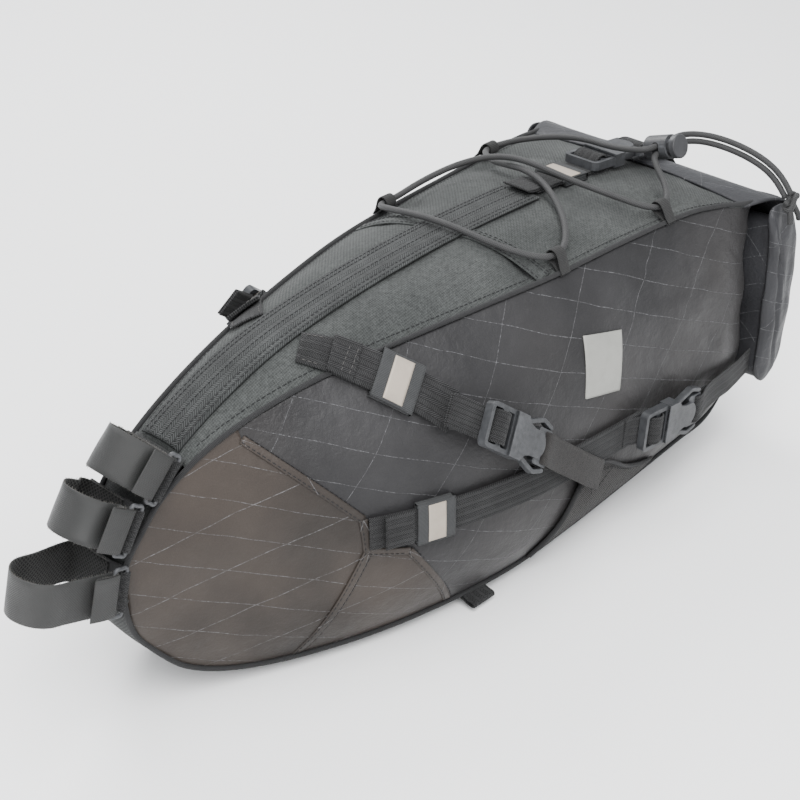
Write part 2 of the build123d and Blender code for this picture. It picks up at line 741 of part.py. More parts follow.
# Shock cord: one length from the knot through the lock, round the four tape loops,
# back through the lock and into the knot again.
CORD_ROUTE = [
    (286.6, -109.9, 187.9), (288.3, -102.8, 196), (288.3, -88.5, 204.8), (286.6, -68.2, 210.4),
    (280.1, -48.5, 213.9),
    (268, -36.1, 215), (252, -36.1, 215), (229, -36.1, 215),
    (225, -24, 213.2), (226, -8, 210.4), (227, 12, 209.6), (225, 32, 206.6), (217, 52, 202),
    (208, 68.9, 196), (192, 68.9, 196),
    (180, 58, 199.8), (169, 43, 203), (164, 27, 206.6), (161, 8, 209.6), (155, -12, 208.4),
    (144, -32, 204), (130, -50, 199.4),
    (113, -62.8, 194.2), (97, -62.8, 194.2),
    (85, -52, 198), (77, -34, 202.4), (72, -14, 206.6), (70, 8, 207), (71, 28, 204),
    (75, 46, 199.4),
    (82, 61.9, 194.2), (98, 61.9, 194.2),
    (114, 60.5, 198), (132, 58.5, 201), (147, 53, 204.6), (158, 42, 209), (163, 28, 212.4),
    (164, 12, 214), (165, -6, 212.6), (170, -24, 208.4), (180, -44, 202.6),
    (192, -68.9, 196), (208, -68.9, 196),
    (220, -58, 200.4), (226, -46, 207.4), (233, -37.6, 210.7),
    (252, -37.6, 210.7), (267, -37.6, 210.7), (278.7, -48.2, 209.4), (285.2, -67.5, 205.9),
    (286.9, -86.9, 200.7), (287, -99.9, 192.5), (285.8, -106.6, 184.8),
]


def corner_radii(route, share=0.45):
    """The largest arc that fits at each corner of a route."""
    points = [Vector(p) for p in route]
    radii = []
    for before, corner, after in zip(points, points[1:], points[2:]):
        run_in, run_out = corner - before, after - corner
        turn = radians(run_in.get_angle(run_out))
        radii.append(share * min(run_in.length, run_out.length) / tan(turn / 2))
    return radii


def straighten(route):
    """Leave out points that lie in line with their neighbours."""
    kept = [route[0]]
    for corner, after in zip(route[1:], route[2:] + [None]):
        if after is not None:
            run_in = Vector(corner) - Vector(kept[-1])
            run_out = Vector(after) - Vector(corner)
            if run_in.get_angle(run_out) < 0.5:
                continue
        kept.append(corner)
    return kept


cord_points = straighten(CORD_ROUTE)
cord_radii = corner_radii(cord_points)
with BuildPart() as shock_cord:
    with BuildLine() as cord_line:
        FilletPolyline(*cord_points, radius=cord_radii)
    with BuildSketch(Plane(origin=cord_line.line @ 0, z_dir=cord_line.line % 0)):
        Circle(CORD / 2)
    sweep()
save(shock_cord.part, "shock_cord")
print("cord length", round(cord_line.wires()[0].length), "smallest radius", round(min(cord_radii), 1))

# Overhand knot that joins the two ends of the cord, with its short tails.
KNOT = Vector(286.3, -110.7, 183.5)
KNOT_RADIUS = 6.0
TAIL_LENGTH = 13
TAIL_ROOT = 3.0  # each tail's distance from the middle of the knot
TAIL_OUT = -0.35  # how far the tails stand out from the side of the bag
with BuildPart() as cord_knot:
    with Locations(KNOT):
        Sphere(KNOT_RADIUS)
    for side in (1, -1):
        root = KNOT + Vector(side * TAIL_ROOT, 0, 0)
        with BuildSketch(Plane(origin=root, z_dir=(0.25 * side, TAIL_OUT, -1))):
            Circle(CORD / 2)
        extrude(amount=TAIL_LENGTH)
    add(shock_cord.part, mode=Mode.SUBTRACT)
save(cord_knot.part, "cord_knot")
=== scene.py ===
"""Looks for the saddle bag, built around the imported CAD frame.

Row frame, in metres: +X from the nose (seatpost end) to the tail (roll), +Z up, -Y is the
left side of the bag. Lengths below are written in millimetres and turned to metres by MM.
"""
import json
import random
from math import cos, exp, hypot, pi, radians, sin

import bmesh
import bpy
import numpy as np
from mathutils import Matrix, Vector, noise
from mathutils.bvhtree import BVHTree


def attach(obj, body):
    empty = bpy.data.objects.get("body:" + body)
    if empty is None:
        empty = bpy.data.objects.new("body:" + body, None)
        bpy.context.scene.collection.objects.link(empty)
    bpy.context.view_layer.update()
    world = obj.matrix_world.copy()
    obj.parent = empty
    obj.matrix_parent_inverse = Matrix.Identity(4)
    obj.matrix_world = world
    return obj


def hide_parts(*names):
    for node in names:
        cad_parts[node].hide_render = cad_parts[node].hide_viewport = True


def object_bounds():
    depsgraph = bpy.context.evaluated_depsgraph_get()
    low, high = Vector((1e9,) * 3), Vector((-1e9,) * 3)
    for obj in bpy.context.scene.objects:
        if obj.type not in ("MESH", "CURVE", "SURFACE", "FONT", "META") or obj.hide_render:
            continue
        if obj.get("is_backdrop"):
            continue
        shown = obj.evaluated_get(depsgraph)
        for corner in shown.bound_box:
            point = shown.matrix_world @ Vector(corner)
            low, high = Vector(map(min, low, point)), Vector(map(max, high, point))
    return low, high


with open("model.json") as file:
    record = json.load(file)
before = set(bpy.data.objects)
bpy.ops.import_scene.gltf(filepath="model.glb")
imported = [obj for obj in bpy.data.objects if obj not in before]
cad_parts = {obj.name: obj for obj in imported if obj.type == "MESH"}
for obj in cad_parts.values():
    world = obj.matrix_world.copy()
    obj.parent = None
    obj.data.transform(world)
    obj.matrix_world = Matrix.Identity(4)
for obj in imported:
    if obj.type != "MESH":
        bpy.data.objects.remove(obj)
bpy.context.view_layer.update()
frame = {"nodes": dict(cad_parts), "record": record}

MM = 0.001
UP = (0, 0, 1)
SIDES = ((-1, "left"), (1, "right"))
random.seed(11)


# ---- camera and light
def new_object(name, data):
    made = bpy.data.objects.new(name, data)
    bpy.context.scene.collection.objects.link(made)
    return made


def aim(thing, place, target):
    """Set a camera or a light down at a place, turned to a target."""
    thing.location = place
    thing.rotation_mode = "QUATERNION"
    thing.rotation_quaternion = (Vector(target) - Vector(place)).to_track_quat("-Z", "Y")


CAMERA_AT = (-0.6147, -0.6208, 0.6380)
CAMERA_TARGET = (0.0294, -0.0074, 0.1036)
camera_data = bpy.data.cameras.new("camera")
camera_data.lens = 76.5
camera_data.sensor_width = 36
camera = new_object("camera", camera_data)
aim(camera, CAMERA_AT, CAMERA_TARGET)
bpy.context.scene.camera = camera

for name, place, target, size, power in (
    ("key", (-0.5, -0.9, 1.5), (0, 0, 0.1), 1.3, 44),
    ("rim", (0.5, 1.2, 1.3), (0, 0, 0.12), 1.0, 28),
    ("side", (-1.5, -0.2, 0.5), (0, 0, 0.1), 0.9, 12),
    ("top", (0.2, -0.1, 1.7), (0.05, 0, 0.1), 1.2, 18),
):
    lamp = bpy.data.lights.new(name, "AREA")
    lamp.shape = "DISK"
    lamp.size = size
    lamp.energy = power
    aim(new_object(name, lamp), place, target)
world = bpy.data.worlds.new("studio")
world.use_nodes = True
sky = world.node_tree.nodes["Background"].inputs
sky[0].default_value = (0.95, 0.97, 1.0, 1)
sky[1].default_value = 1.3
bpy.context.scene.world = world

# ---- materials
SHEEN_SPREAD = 0.5
PATCHY = (0.3, 0.7)
GRID_LEAN = 0.445
GRID_PITCH = 21.5
GRID_THREAD = (0.21, 0.21, 0.22)
# Paler colour of sharp moulded edges: rub wear and a painted edge highlight.
EDGE_WEAR_AND_HIGHLIGHT = (0.060, 0.062, 0.066)


class Shader:
    """A small helper around one material's node tree."""

    def __init__(self, name, rough=0.7, specular=0.4, sheen=0.0, metallic=0.0):
        self.material = bpy.data.materials.new(name)
        self.material.use_nodes = True
        self.tree = self.material.node_tree
        self.sockets = self.tree.nodes["Principled BSDF"].inputs
        self.sockets["Roughness"].default_value = rough
        self.sockets["Specular IOR Level"].default_value = specular
        self.sockets["Metallic"].default_value = metallic
        self.sockets["Sheen Weight"].default_value = sheen
        self.sockets["Sheen Roughness"].default_value = SHEEN_SPREAD

    def node(self, kind, **settings):
        made = self.tree.nodes.new("ShaderNode" + kind)
        for key, value in settings.items():
            setattr(made, key, value)
        return made

    def put(self, target, value):
        """Feed a socket from another socket, or set it to a number or colour."""
        if isinstance(value, bpy.types.NodeSocket):
            self.tree.links.new(value, target)
        else:
            target.default_value = value

    def math(self, operation, a, b=0.0):
        made = self.node("Math", operation=operation)
        self.put(made.inputs[0], a)
        self.put(made.inputs[1], b)
        return made.outputs[0]

    def times(self, a, b):
        return self.math("MULTIPLY", a, b)

    def plus(self, a, b):
        return self.math("ADD", a, b)

    def uv(self):
        """The two surface coordinates in millimetres."""
        split = self.node("SeparateXYZ")
        self.put(split.inputs[0], self.node("TexCoord").outputs["UV"])
        return [self.times(split.outputs[axis], 1000) for axis in (0, 1)]

    def noise(self, scale, detail=3.0, rough=0.55):
        made = self.node("TexNoise")
        made.inputs["Scale"].default_value = scale
        made.inputs["Detail"].default_value = detail
        made.inputs["Roughness"].default_value = rough
        self.put(made.inputs["Vector"], self.node("TexCoord").outputs["Object"])
        return made.outputs["Fac"]

    def span(self, value, low, high, to_low=0.0, to_high=1.0):
        made = self.node("MapRange")
        for socket, number in zip(made.inputs, (value, low, high, to_low, to_high)):
            self.put(socket, number)
        return made.outputs[0]

    def blotch(self, scale, detail, low=0.0, high=1.0):
        """Soft patches that run from low to high."""
        return self.span(self.noise(scale, detail), *PATCHY, low, high)

    def mix(self, share, a, b):
        made = self.node("Mix", data_type="RGBA")
        self.put(made.inputs["Factor"], share)
        for socket, colour in (("A", a), ("B", b)):
            linked = isinstance(colour, bpy.types.NodeSocket)
            self.put(made.inputs[socket], colour if linked else (*colour, 1))
        return made.outputs["Result"]

    def scaled(self, colour, amount):
        """A colour made lighter or darker."""
        made = self.node("VectorMath", operation="SCALE")
        self.put(made.inputs[0], colour)
        self.put(made.inputs["Scale"], amount)
        return made.outputs[0]

    def ripple(self, value, pitch):
        """0 on every line that is a pitch apart, rising to 0.5 halfway between them."""
        return self.math("PINGPONG", self.math("DIVIDE", value, pitch), 0.5)

    def weave(self, pitch):
        """Height of a plain weave: warp and weft threads that pass over each other."""
        u, v = self.uv()
        waves = [self.math("SINE", self.times(c, pi / pitch)) for c in (u, v)]
        over = self.math("GREATER_THAN", self.times(*waves), 0.0)
        low = self.times(self.ripple(u, pitch), self.math("SUBTRACT", 1.0, over))
        return self.plus(low, self.times(self.ripple(v, pitch), over))

    def crossed(self, operation, pitch):
        """Two sets of slanting threads that cross."""
        u, v = self.uv()
        slants = (self.plus(u, v), self.math("SUBTRACT", u, v))
        return self.math(operation, *[self.ripple(slant, pitch) for slant in slants])

    def finish(self, colour, height=None, depth=0.3, roughness=None):
        self.put(self.sockets["Base Color"], colour)
        if roughness is not None:
            self.put(self.sockets["Roughness"], roughness)
        if height is not None:
            bump = self.node("Bump")
            bump.inputs["Strength"].default_value = 1.0
            bump.inputs["Distance"].default_value = depth * MM
            self.put(bump.inputs["Height"], height)
            self.put(self.sockets["Normal"], bump.outputs[0])
        return self.material


def laminate(name, dark, light, slope, spacing, tint):
    """Laminated sailcloth: smooth face, level threads and slanting threads under it."""
    s = Shader(name, rough=0.5, specular=0.23, sheen=0.014)
    u, v = s.uv()
    wander = s.times(s.blotch(28, 2, -1, 1), 0.7)
    level, slant = [s.plus(s.plus(v, s.times(u, lean)), wander) for lean in (GRID_LEAN, -slope)]
    lines = s.math("MAXIMUM", s.span(s.ripple(level, GRID_PITCH), 0.013, 0.004),
                   s.span(s.ripple(slant, spacing), 0.3 / spacing, 0.1 / spacing))
    broken = s.times(lines, s.span(s.noise(420, 4, 0.8), 0.42, 0.66, 0.04, 0.60))
    base = s.mix(s.blotch(13, 4), [0.7 * c for c in dark], [1.15 * c for c in light])
    warm = s.mix(s.span(s.noise(7, 2), 0.42, 0.66, 0, 0.55), base, tint)
    colour = s.mix(broken, s.scaled(warm, s.blotch(2600, 2, 0.85, 1.15)), GRID_THREAD)
    creases = s.times(s.noise(60, 5, 0.65), 3.0)
    fine = s.times(s.noise(900, 2), 0.10)
    height = s.plus(s.plus(creases, fine), s.times(lines, 0.35))
    return s.finish(colour, height, 0.5, s.blotch(35, 3, 0.42, 0.58))


def canvas(name, dark, light, pitch, rough=0.85):
    """Plain coated canvas with slubs, painted darker in the weave's hollows and lighter on its threads."""
    s = Shader(name, rough=rough, specular=0.14, sheen=0.042)
    cloth = s.weave(pitch)
    slub = s.noise(420, 3, 0.7)
    # Painted shade and highlight: weave hollows darker, thread tops lighter; slubs add real tone.
    weave_shade_and_tone = s.plus(s.span(cloth, 0.05, 0.5, 0.75, 1.15), s.span(slub, *PATCHY, -0.3, 0.3))
    colour = s.scaled(s.mix(s.blotch(16, 4), dark, light), weave_shade_and_tone)
    return s.finish(colour, s.plus(cloth, s.times(slub, 0.8)), 0.45)


def webbing(name, dark, light, pitch=1.5, rib=2.6):
    """Herringbone webbing: slanting ribs that turn back every few threads, painted shade in the grooves."""
    s = Shader(name, rough=0.78, specular=0.17, sheen=0.036)
    u, v = s.uv()
    zigzag = s.times(s.ripple(v, rib * 2), rib * 2.4)
    edges = s.span(s.ripple(v, rib), 0.0, 0.12)
    height = s.times(s.ripple(s.plus(u, zigzag), pitch), edges)
    worn = s.span(s.noise(55, 4), 0.35, 0.75, 0.7, 1.35)
    # Painted shade and highlight: colour darker in the grooves, lighter on the ribs, times a random worn
    # tone.
    weave_shade_and_tone = s.times(s.span(height, 0.02, 0.5, 0.35, 1.75), worn)
    colour = s.scaled(s.mix(s.noise(300, 2), dark, light), weave_shade_and_tone)
    return s.finish(colour, s.times(height, 1.6), 0.55)


def ribbed(name, dark, light, pitch, along=True):
    """Grosgrain, elastic or binding tape with fine ribs, painted darker between the ribs and lighter on
    them.
    """
    s = Shader(name, rough=0.8, specular=0.14, sheen=0.036)
    u, v = s.uv() if along else reversed(s.uv())
    height = s.plus(s.ripple(u, pitch), s.times(s.ripple(v, pitch * 0.8), 0.4))
    # Painted shade and highlight: darker in the grooves between ribs, lighter on the ribs.
    colour = s.scaled(s.mix(s.noise(160, 3), dark, light), s.span(height, 0.05, 0.6, 0.6, 1.4))
    return s.finish(colour, height, 0.4)


def satin_tape(name):
    """Smooth back of hook-and-loop strap: tight weave with a soft shine, painted a little darker in its
    hollows.
    """
    s = Shader(name, rough=0.42, specular=0.25, sheen=0.018)
    cloth = s.weave(0.7)
    base = s.mix(s.blotch(22, 3), (0.0160, 0.0162, 0.0158), (0.0260, 0.0262, 0.0255))
    # Painted shade and highlight: weave hollows a little darker, thread tops a little lighter.
    colour = s.scaled(base, s.span(cloth, 0, 0.5, 0.8, 1.15))
    return s.finish(colour, s.plus(cloth, s.noise(90, 3)), 0.25, s.blotch(40, 3, 0.34, 0.5))


def mesh_tape(name):
    """Loop side of the strap: an open knitted mesh with little hollows, painted near black as shade."""
    s = Shader(name, rough=0.9, specular=0.11, sheen=0.060)
    net = s.crossed("MINIMUM", 2.6)
    # Painted shade: the mesh's hollows go near black, its threads stay paler.
    colour = s.mix(s.span(net, 0.02, 0.22), (0.024, 0.024, 0.023), (0.005, 0.005, 0.005))
    fuzz = s.times(s.noise(1500, 4, 0.8), 0.6)
    return s.finish(colour, s.math("SUBTRACT", fuzz, net), 0.9)


def moulded(name, dark=(0.010, 0.0105, 0.0115), light=(0.022, 0.023, 0.025)):
    """Moulded nylon: fine texture, sharp edges paler from rub wear and a painted edge highlight."""
    s = Shader(name, rough=0.42, specular=0.28)
    edge_sharpness = s.node("NewGeometry").outputs["Pointiness"]
    # Sharp edges painted paler in patches: rub wear and a painted edge highlight.
    edge = s.times(s.span(edge_sharpness, 0.505, 0.56), s.span(s.noise(300, 3), 0.3, 0.6, 0.3, 1))
    colour = s.mix(edge, s.mix(s.blotch(60, 3), dark, light), EDGE_WEAR_AND_HIGHLIGHT)
    return s.finish(colour, s.noise(1900, 3, 0.7), 0.08, s.blotch(120, 3, 0.36, 0.52))


def reflective(name, colour, edge):
    """Retroreflective film: pale satin with a fine grain and slightly soiled patches."""
    s = Shader(name, rough=0.45, specular=0.6, metallic=0.15)
    soil = s.span(s.noise(120, 4), 0.45, 0.8, 0, 0.5)
    grain = s.noise(2400, 2)
    return s.finish(s.mix(soil, colour, edge), grain, 0.06, s.span(grain, *PATCHY, 0.38, 0.55))


def braid(name, dark, light):
    """Braided sheath of shock cord, painted darker between the strands and lighter on them."""
    s = Shader(name, rough=0.6, specular=0.19, sheen=0.030)
    height = s.crossed("MAXIMUM", 1.57)
    # Painted shade and highlight: darker between the braided strands, lighter on their tops.
    colour = s.scaled(s.mix(s.noise(90, 2), dark, light), s.span(height, 0.1, 0.5, 0.45, 1.6))
    return s.finish(colour, height, 0.3)


def thread_material(name, colour):
    s = Shader(name, rough=0.6, specular=0.17, sheen=0.024)
    darker = [0.6 * c for c in colour]
    return s.finish(s.mix(s.noise(1500, 2), darker, colour), s.noise(3000, 2), 0.05)


def metal(name):
    s = Shader(name, rough=0.3, metallic=1.0)
    colour = s.mix(s.noise(200, 2), (0.45, 0.45, 0.46), (0.62, 0.62, 0.63))
    return s.finish(colour, s.noise(1200, 2), 0.04)


SIDE_CLOTH = laminate("side_cloth", (0.0143, 0.0139, 0.0148), (0.0221, 0.0215, 0.0224), 0.98, 62,
                      (0.0214, 0.0194, 0.0185))
PATCH_CLOTH = laminate("patch_cloth", (0.0209, 0.0170, 0.0146), (0.0336, 0.0272, 0.0229), 0.25, 30,
                       (0.0399, 0.0304, 0.0248))
ROLL_CLOTH = laminate("roll_cloth", (0.0156, 0.0160, 0.0181), (0.0242, 0.0246, 0.0276), 0.98, 62,
                      (0.0216, 0.0211, 0.0224))
TOP_CLOTH = canvas("top_cloth", (0.0300, 0.0323, 0.0315), (0.0495, 0.0525, 0.0510), 1.3)
GUSSET_CLOTH = canvas("gusset_cloth", (0.0216, 0.0224, 0.0224), (0.0346, 0.0360, 0.0354), 1.3)
SPINE_WEB = webbing("spine_web", (0.0229, 0.0243, 0.0243), (0.0338, 0.0357, 0.0351), 1.8, 3.0)
STRAP_WEB = webbing("strap_web", (0.0142, 0.0142, 0.0146), (0.0232, 0.0232, 0.0236))
EDGE_TAPE = ribbed("edge_tape", (0.0142, 0.0142, 0.0147), (0.0229, 0.0229, 0.0235), 0.8)
LOOP_TAPE = ribbed("loop_tape", (0.0150, 0.0150, 0.0150), (0.0250, 0.0250, 0.0245), 0.9)
ELASTIC = ribbed("elastic_tape", (0.0270, 0.0279, 0.0288), (0.0405, 0.0414, 0.0423), 0.8, False)
TAB_CLOTH = canvas("tab_cloth", (0.0151, 0.0137, 0.0130), (0.0216, 0.0200, 0.0189), 0.6, 0.6)
WING_CLOTH = canvas("wing_cloth", (0.0109, 0.0097, 0.0091), (0.0168, 0.0151, 0.0140), 0.7, 0.65)
SATIN = satin_tape("post_satin")
KNIT = mesh_tape("post_knit")
PLASTIC = moulded("buckle_plastic")
LOCK_PLASTIC = moulded("lock_plastic", (0.016, 0.016, 0.017), (0.030, 0.030, 0.032))
SILVER = reflective("reflective_beige", (0.29, 0.25, 0.205), (0.20, 0.165, 0.135))
EMBLEM = reflective("reflective_grey", (0.24, 0.24, 0.22), (0.18, 0.18, 0.165))
CORD_BRAID = braid("cord_braid", (0.0200, 0.0200, 0.0205), (0.0300, 0.0300, 0.0300))
THREAD = thread_material("dark_thread", (0.0132, 0.0132, 0.0144))
PALE_THREAD = thread_material("grey_thread", (0.0650, 0.0625, 0.0600))
FRAYED = thread_material("frayed_thread", (0.1320, 0.1260, 0.1140))
STEEL = metal("spring_steel")
INSIDE_SHEET = moulded("sheet_plastic", (0.05, 0.05, 0.05), (0.08, 0.08, 0.08))


# ---- mesh helpers
def repair(mesh, weld=0.0, level=0.0):
    """Weld close points, merge faces that lie level and turn every face outward."""
    bm = bmesh.new()
    bm.from_mesh(mesh)
    if weld:
        bmesh.ops.remove_doubles(bm, verts=bm.verts, dist=weld)
    if level:
        bmesh.ops.dissolve_limit(bm, angle_limit=level, verts=bm.verts, edges=bm.edges)
    bmesh.ops.recalc_face_normals(bm, faces=bm.faces)
    bm.to_mesh(mesh)
    bm.free()


def link(name, vertices, faces, uvs, material, weld=0.0):
    """A mesh object from points in millimetres, with a surface coordinate per point."""
    mesh = bpy.data.meshes.new(name)
    mesh.from_pydata([tuple(MM * c for c in v) for v in vertices], [], faces)
    layer = mesh.uv_layers.new(name="surface")
    for loop in mesh.loops:
        u, v = uvs[loop.vertex_index]
        layer.data[loop.index].uv = (u * MM, v * MM)
    mesh.materials.append(material)
    mesh.polygons.foreach_set("use_smooth", [True] * len(mesh.polygons))
    mesh.update()
    repair(mesh, weld)
    return new_object(name, mesh)


def unit(vectors):
    return vectors / np.maximum(np.linalg.norm(vectors, axis=-1, keepdims=True), 1e-9)


def run_along(line):
    """Distance along a line to each of its points."""
    return np.concatenate([[0], np.cumsum(np.linalg.norm(np.diff(line, axis=0), axis=1))])


def surface(run, places):
    """Surface coordinates of a grid, from distances along and across it."""
    return np.stack(np.broadcast_arrays(run[:, None], places[None, :]), 2)


def smooth_curve(points, count, closed=False):
    """Points spread evenly along a natural cubic through the given ones."""
    p = np.array([tuple(q) for q in points], float)
    if closed:
        meets = int(np.allclose(p[0], p[-1]))
        p = np.vstack([p[len(p) - 2 - meets:len(p) - meets], p, p[meets:3]])
    t = np.concatenate([[0], np.cumsum(np.linalg.norm(np.diff(p, axis=0), axis=1) ** 0.75)])
    n = len(p)
    h = np.diff(t)
    a = np.zeros((n, n))
    b = np.zeros((n, p.shape[1]))
    a[0, 0] = a[-1, -1] = 1
    for i in range(1, n - 1):
        a[i, i - 1], a[i, i], a[i, i + 1] = h[i - 1], 2 * (h[i - 1] + h[i]), h[i]
        b[i] = 6 * ((p[i + 1] - p[i]) / h[i] - (p[i] - p[i - 1]) / h[i - 1])
    m = np.linalg.solve(a, b)
    start, stop = (t[2], t[-3]) if closed else (t[0], t[-1])
    s = np.linspace(start, stop, max(count * 6, 200))
    k = np.clip(np.searchsorted(t, s, side="right") - 1, 0, n - 2)
    d0, d1, w = s - t[k], t[k + 1] - s, h[k]
    fine = ((m[k].T * d1**3 + m[k + 1].T * d0**3) / (6 * w)
            + (p[k].T / w - m[k].T * w / 6) * d1 + (p[k + 1].T / w - m[k + 1].T * w / 6) * d0).T
    run = run_along(fine)
    even = np.linspace(0, run[-1], count)
    return np.stack([np.interp(even, run, fine[:, c]) for c in range(p.shape[1])], 1)


def grid_faces(rows, columns, first=0):
    """Corner numbers of every face of a grid of points."""
    faces = []
    for i in range(rows - 1):
        for a in range(first + i * columns, first + (i + 1) * columns - 1):
            faces.append((a, a + 1, a + columns + 1, a + columns))
    return faces


def slab(name, upper, lower, uv, material):
    """Closed sheet between two grids of points, shape (rows, columns, 3)."""
    rows, columns = upper.shape[:2]
    points = np.concatenate([upper.reshape(-1, 3), lower.reshape(-1, 3)])
    flat = np.concatenate([uv.reshape(-1, 2), uv.reshape(-1, 2)])
    under = rows * columns
    last = under - columns
    faces = []
    for face in grid_faces(rows, columns):
        faces += [face, tuple(under + corner for corner in reversed(face))]
    rim = []
    for i in range(0, last, columns):
        rim += [(i, i + columns), (i + 2 * columns - 1, i + columns - 1)]
    for j in range(columns - 1):
        rim += [(j + 1, j), (last + j, last + j + 1)]
    faces += [(a, b, under + b, under + a) for a, b in rim]
    return link(name, points.tolist(), faces, flat.tolist(), material)


def spindles(name, vertices, rings, sides, uvs, material):
    """Small closed bodies in one mesh, each of so many rings of so many points."""
    faces = []
    size = rings * sides
    for first in range(0, len(vertices), size):
        for a in range(first, first + size - sides, sides):
            for q in range(sides):
                b = a + (q + 1) % sides
                faces.append((a + q, b, b + sides, a + q + sides))
        faces.append(tuple(range(first + sides - 1, first - 1, -1)))
        faces.append(tuple(range(first + size - sides, first + size)))
    return link(name, vertices, faces, uvs, material)


def grid_normals(grid):
    """Unit normals of a grid of points."""
    return unit(np.cross(np.gradient(grid, axis=0), np.gradient(grid, axis=1)))


def rounded_columns(width, thick, count):
    """Positions across a tape and the share of its thickness there: thin at both edges."""
    edge = 0.45 * thick
    inner = np.linspace(-width / 2 + edge, width / 2 - edge, count)
    across = np.concatenate([[-width / 2], inner, [width / 2]])
    share = np.ones(len(across))
    share[0] = share[-1] = 0.25
    return across, share


def strip(name, path, across, width, thick, material, count=90, columns=7, wave=0.0, lift=0.0):
    """A tape swept along a path, kept square to a fixed direction across."""
    line = smooth_curve(path, count)
    side = np.array(Vector(across).normalized())
    normal = unit(np.cross(side, np.gradient(line, axis=0)))
    run = run_along(line)
    places, share = rounded_columns(width, thick, columns)
    centre = line[:, None, :] + places[None, :, None] * side
    if wave:
        for i in range(len(line)):
            for j, place in enumerate(places):
                bend = noise.noise(Vector((run[i] / 14, place / 16, width + thick)))
                centre[i, j] += normal[i] * bend * wave
    centre += normal[:, None, :] * lift
    half = normal[:, None, :] * (0.5 * thick * share[None, :, None])
    return slab(name, centre + half, centre - half, surface(run, places), material)


def tube(name, line, radius, material, sides=10, closed=False):
    """A round tube along points in millimetres. It has one radius, or one at each point."""
    line = np.array(line, float)
    along = np.gradient(line, axis=0)
    if closed:
        along[0] = along[-1] = line[1] - line[-2]
    along /= np.linalg.norm(along, axis=1, keepdims=True)
    turn = Vector(UP) if abs(along[0][2]) < 0.9 else Vector((1, 0, 0))
    side = Vector(along[0]).cross(turn).normalized()
    vertices, uvs = [], []
    for p, t, r, s in zip(line, along, np.broadcast_to(radius, len(line)), run_along(line)):
        t = Vector(t)
        side = (side - t * side.dot(t)).normalized()
        up = t.cross(side)
        for k in range(sides + 1):
            angle = 2 * pi * k / sides
            vertices.append(Vector(p) + (side * cos(angle) + up * sin(angle)) * r)
            uvs.append((s, r * angle))
    faces = grid_faces(len(line), sides + 1)
    if not closed:
        last = len(vertices) - sides - 1
        faces += [tuple(reversed(range(sides))), tuple(range(last, last + sides))]
    return link(name, vertices, faces, uvs, material, 1e-6)


def join(name, pieces):
    """Make one piece of several meshes."""
    base = pieces[0]
    with bpy.context.temp_override(active_object=base, selected_editable_objects=pieces,
                                   object=base, selected_objects=pieces):
        bpy.ops.object.join()
    base.name = name
    base.data.name = name
    return base


def dress(piece, body, slot, *nodes):
    """Let a piece ride on a body and stand for CAD nodes; the material slot is not used."""
    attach(piece, body)
    if nodes:
        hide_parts(*nodes)


def once(side, node):
    """A CAD node that covers both sides of the bag is stood for by the left piece alone."""
    return (node,) if side < 0 else ()


STITCH_PITCH = 3.4
STITCH_LENGTH = 2.5
THREAD_RADIUS = 0.27
STITCH_TURN = 0.3


def stitches(name, rows, slot, material=THREAD):
    """Rows of thread stitches. Each row is (points, normals), both in millimetres."""
    vertices, uvs = [], []
    for row in rows:
        points, normals = [np.array(values, float) for values in row]
        run = run_along(points)
        for k in range(int(run[-1] / STITCH_PITCH)):
            middle = (k + 0.5) * STITCH_PITCH
            ends = []
            for s in (middle - STITCH_LENGTH / 2, middle, middle + STITCH_LENGTH / 2):
                ends.append(Vector([np.interp(s, run, points[:, c]) for c in range(3)]))
            up = Vector([np.interp(middle, run, normals[:, c]) for c in range(3)]).normalized()
            along = (ends[2] - ends[0]).normalized()
            side = along.cross(up).normalized()
            turn = along * STITCH_TURN
            for p, size, rise in ((ends[0], 0.35, -0.5), (ends[0] + turn, 0.9, 0.3), (ends[1], 1.0, 0.75),
                                  (ends[2] - turn, 0.9, 0.3), (ends[2], 0.35, -0.5)):
                for q in range(5):
                    angle = 2 * pi * q / 5
                    offset = side * cos(angle) + up * (sin(angle) * 0.8)
                    vertices.append(p + up * rise * THREAD_RADIUS + offset * THREAD_RADIUS * size)
                    uvs.append((q, k))
    dress(spindles(name, vertices, 5, 5, uvs, material), "bag", slot)


# ---- shock cord
# The cord's route, as laid out in the CAD source, in metres. It starts at the knot, goes
# through the lock, round the four tape loops, back through the lock and into the knot.
CORD_ROUTE = [
    (.2866, -.1099, .1879), (.2883, -.1028, .196), (.2883, -.0885, .2048), (.2866, -.0682, .2104),
    (.2801, -.0485, .2139), (.268, -.0361, .215), (.252, -.0361, .215), (.229, -.0361, .215),
    (.225, -.024, .2132), (.226, -.008, .2104), (.227, .012, .2096), (.225, .032, .2066),
    (.217, .052, .202), (.208, .0689, .196), (.192, .0689, .196),
    (.180, .058, .1998), (.169, .043, .203), (.164, .027, .2066), (.161, .008, .2096),
    (.155, -.012, .2084), (.144, -.032, .204), (.130, -.050, .1994),
    (.113, -.0628, .1942), (.097, -.0628, .1942),
    (.085, -.052, .198), (.077, -.034, .2024), (.072, -.014, .2066), (.070, .008, .207),
    (.071, .028, .204), (.075, .046, .1994), (.082, .0619, .1942), (.098, .0619, .1942),
    (.114, .0605, .198), (.132, .0585, .201), (.147, .053, .2046), (.158, .042, .209),
    (.163, .028, .2124), (.164, .012, .214), (.165, -.006, .2126), (.170, -.024, .2084),
    (.180, -.044, .2026), (.192, -.0689, .196), (.208, -.0689, .196),
    (.220, -.058, .2004), (.226, -.046, .2074), (.233, -.0376, .2107),
    (.252, -.0376, .2107), (.267, -.0376, .2107), (.2787, -.0482, .2094), (.2852, -.0675, .2059),
    (.2869, -.0869, .2007), (.287, -.0999, .1925), (.2858, -.1066, .1848),
]
CORD = 4.0
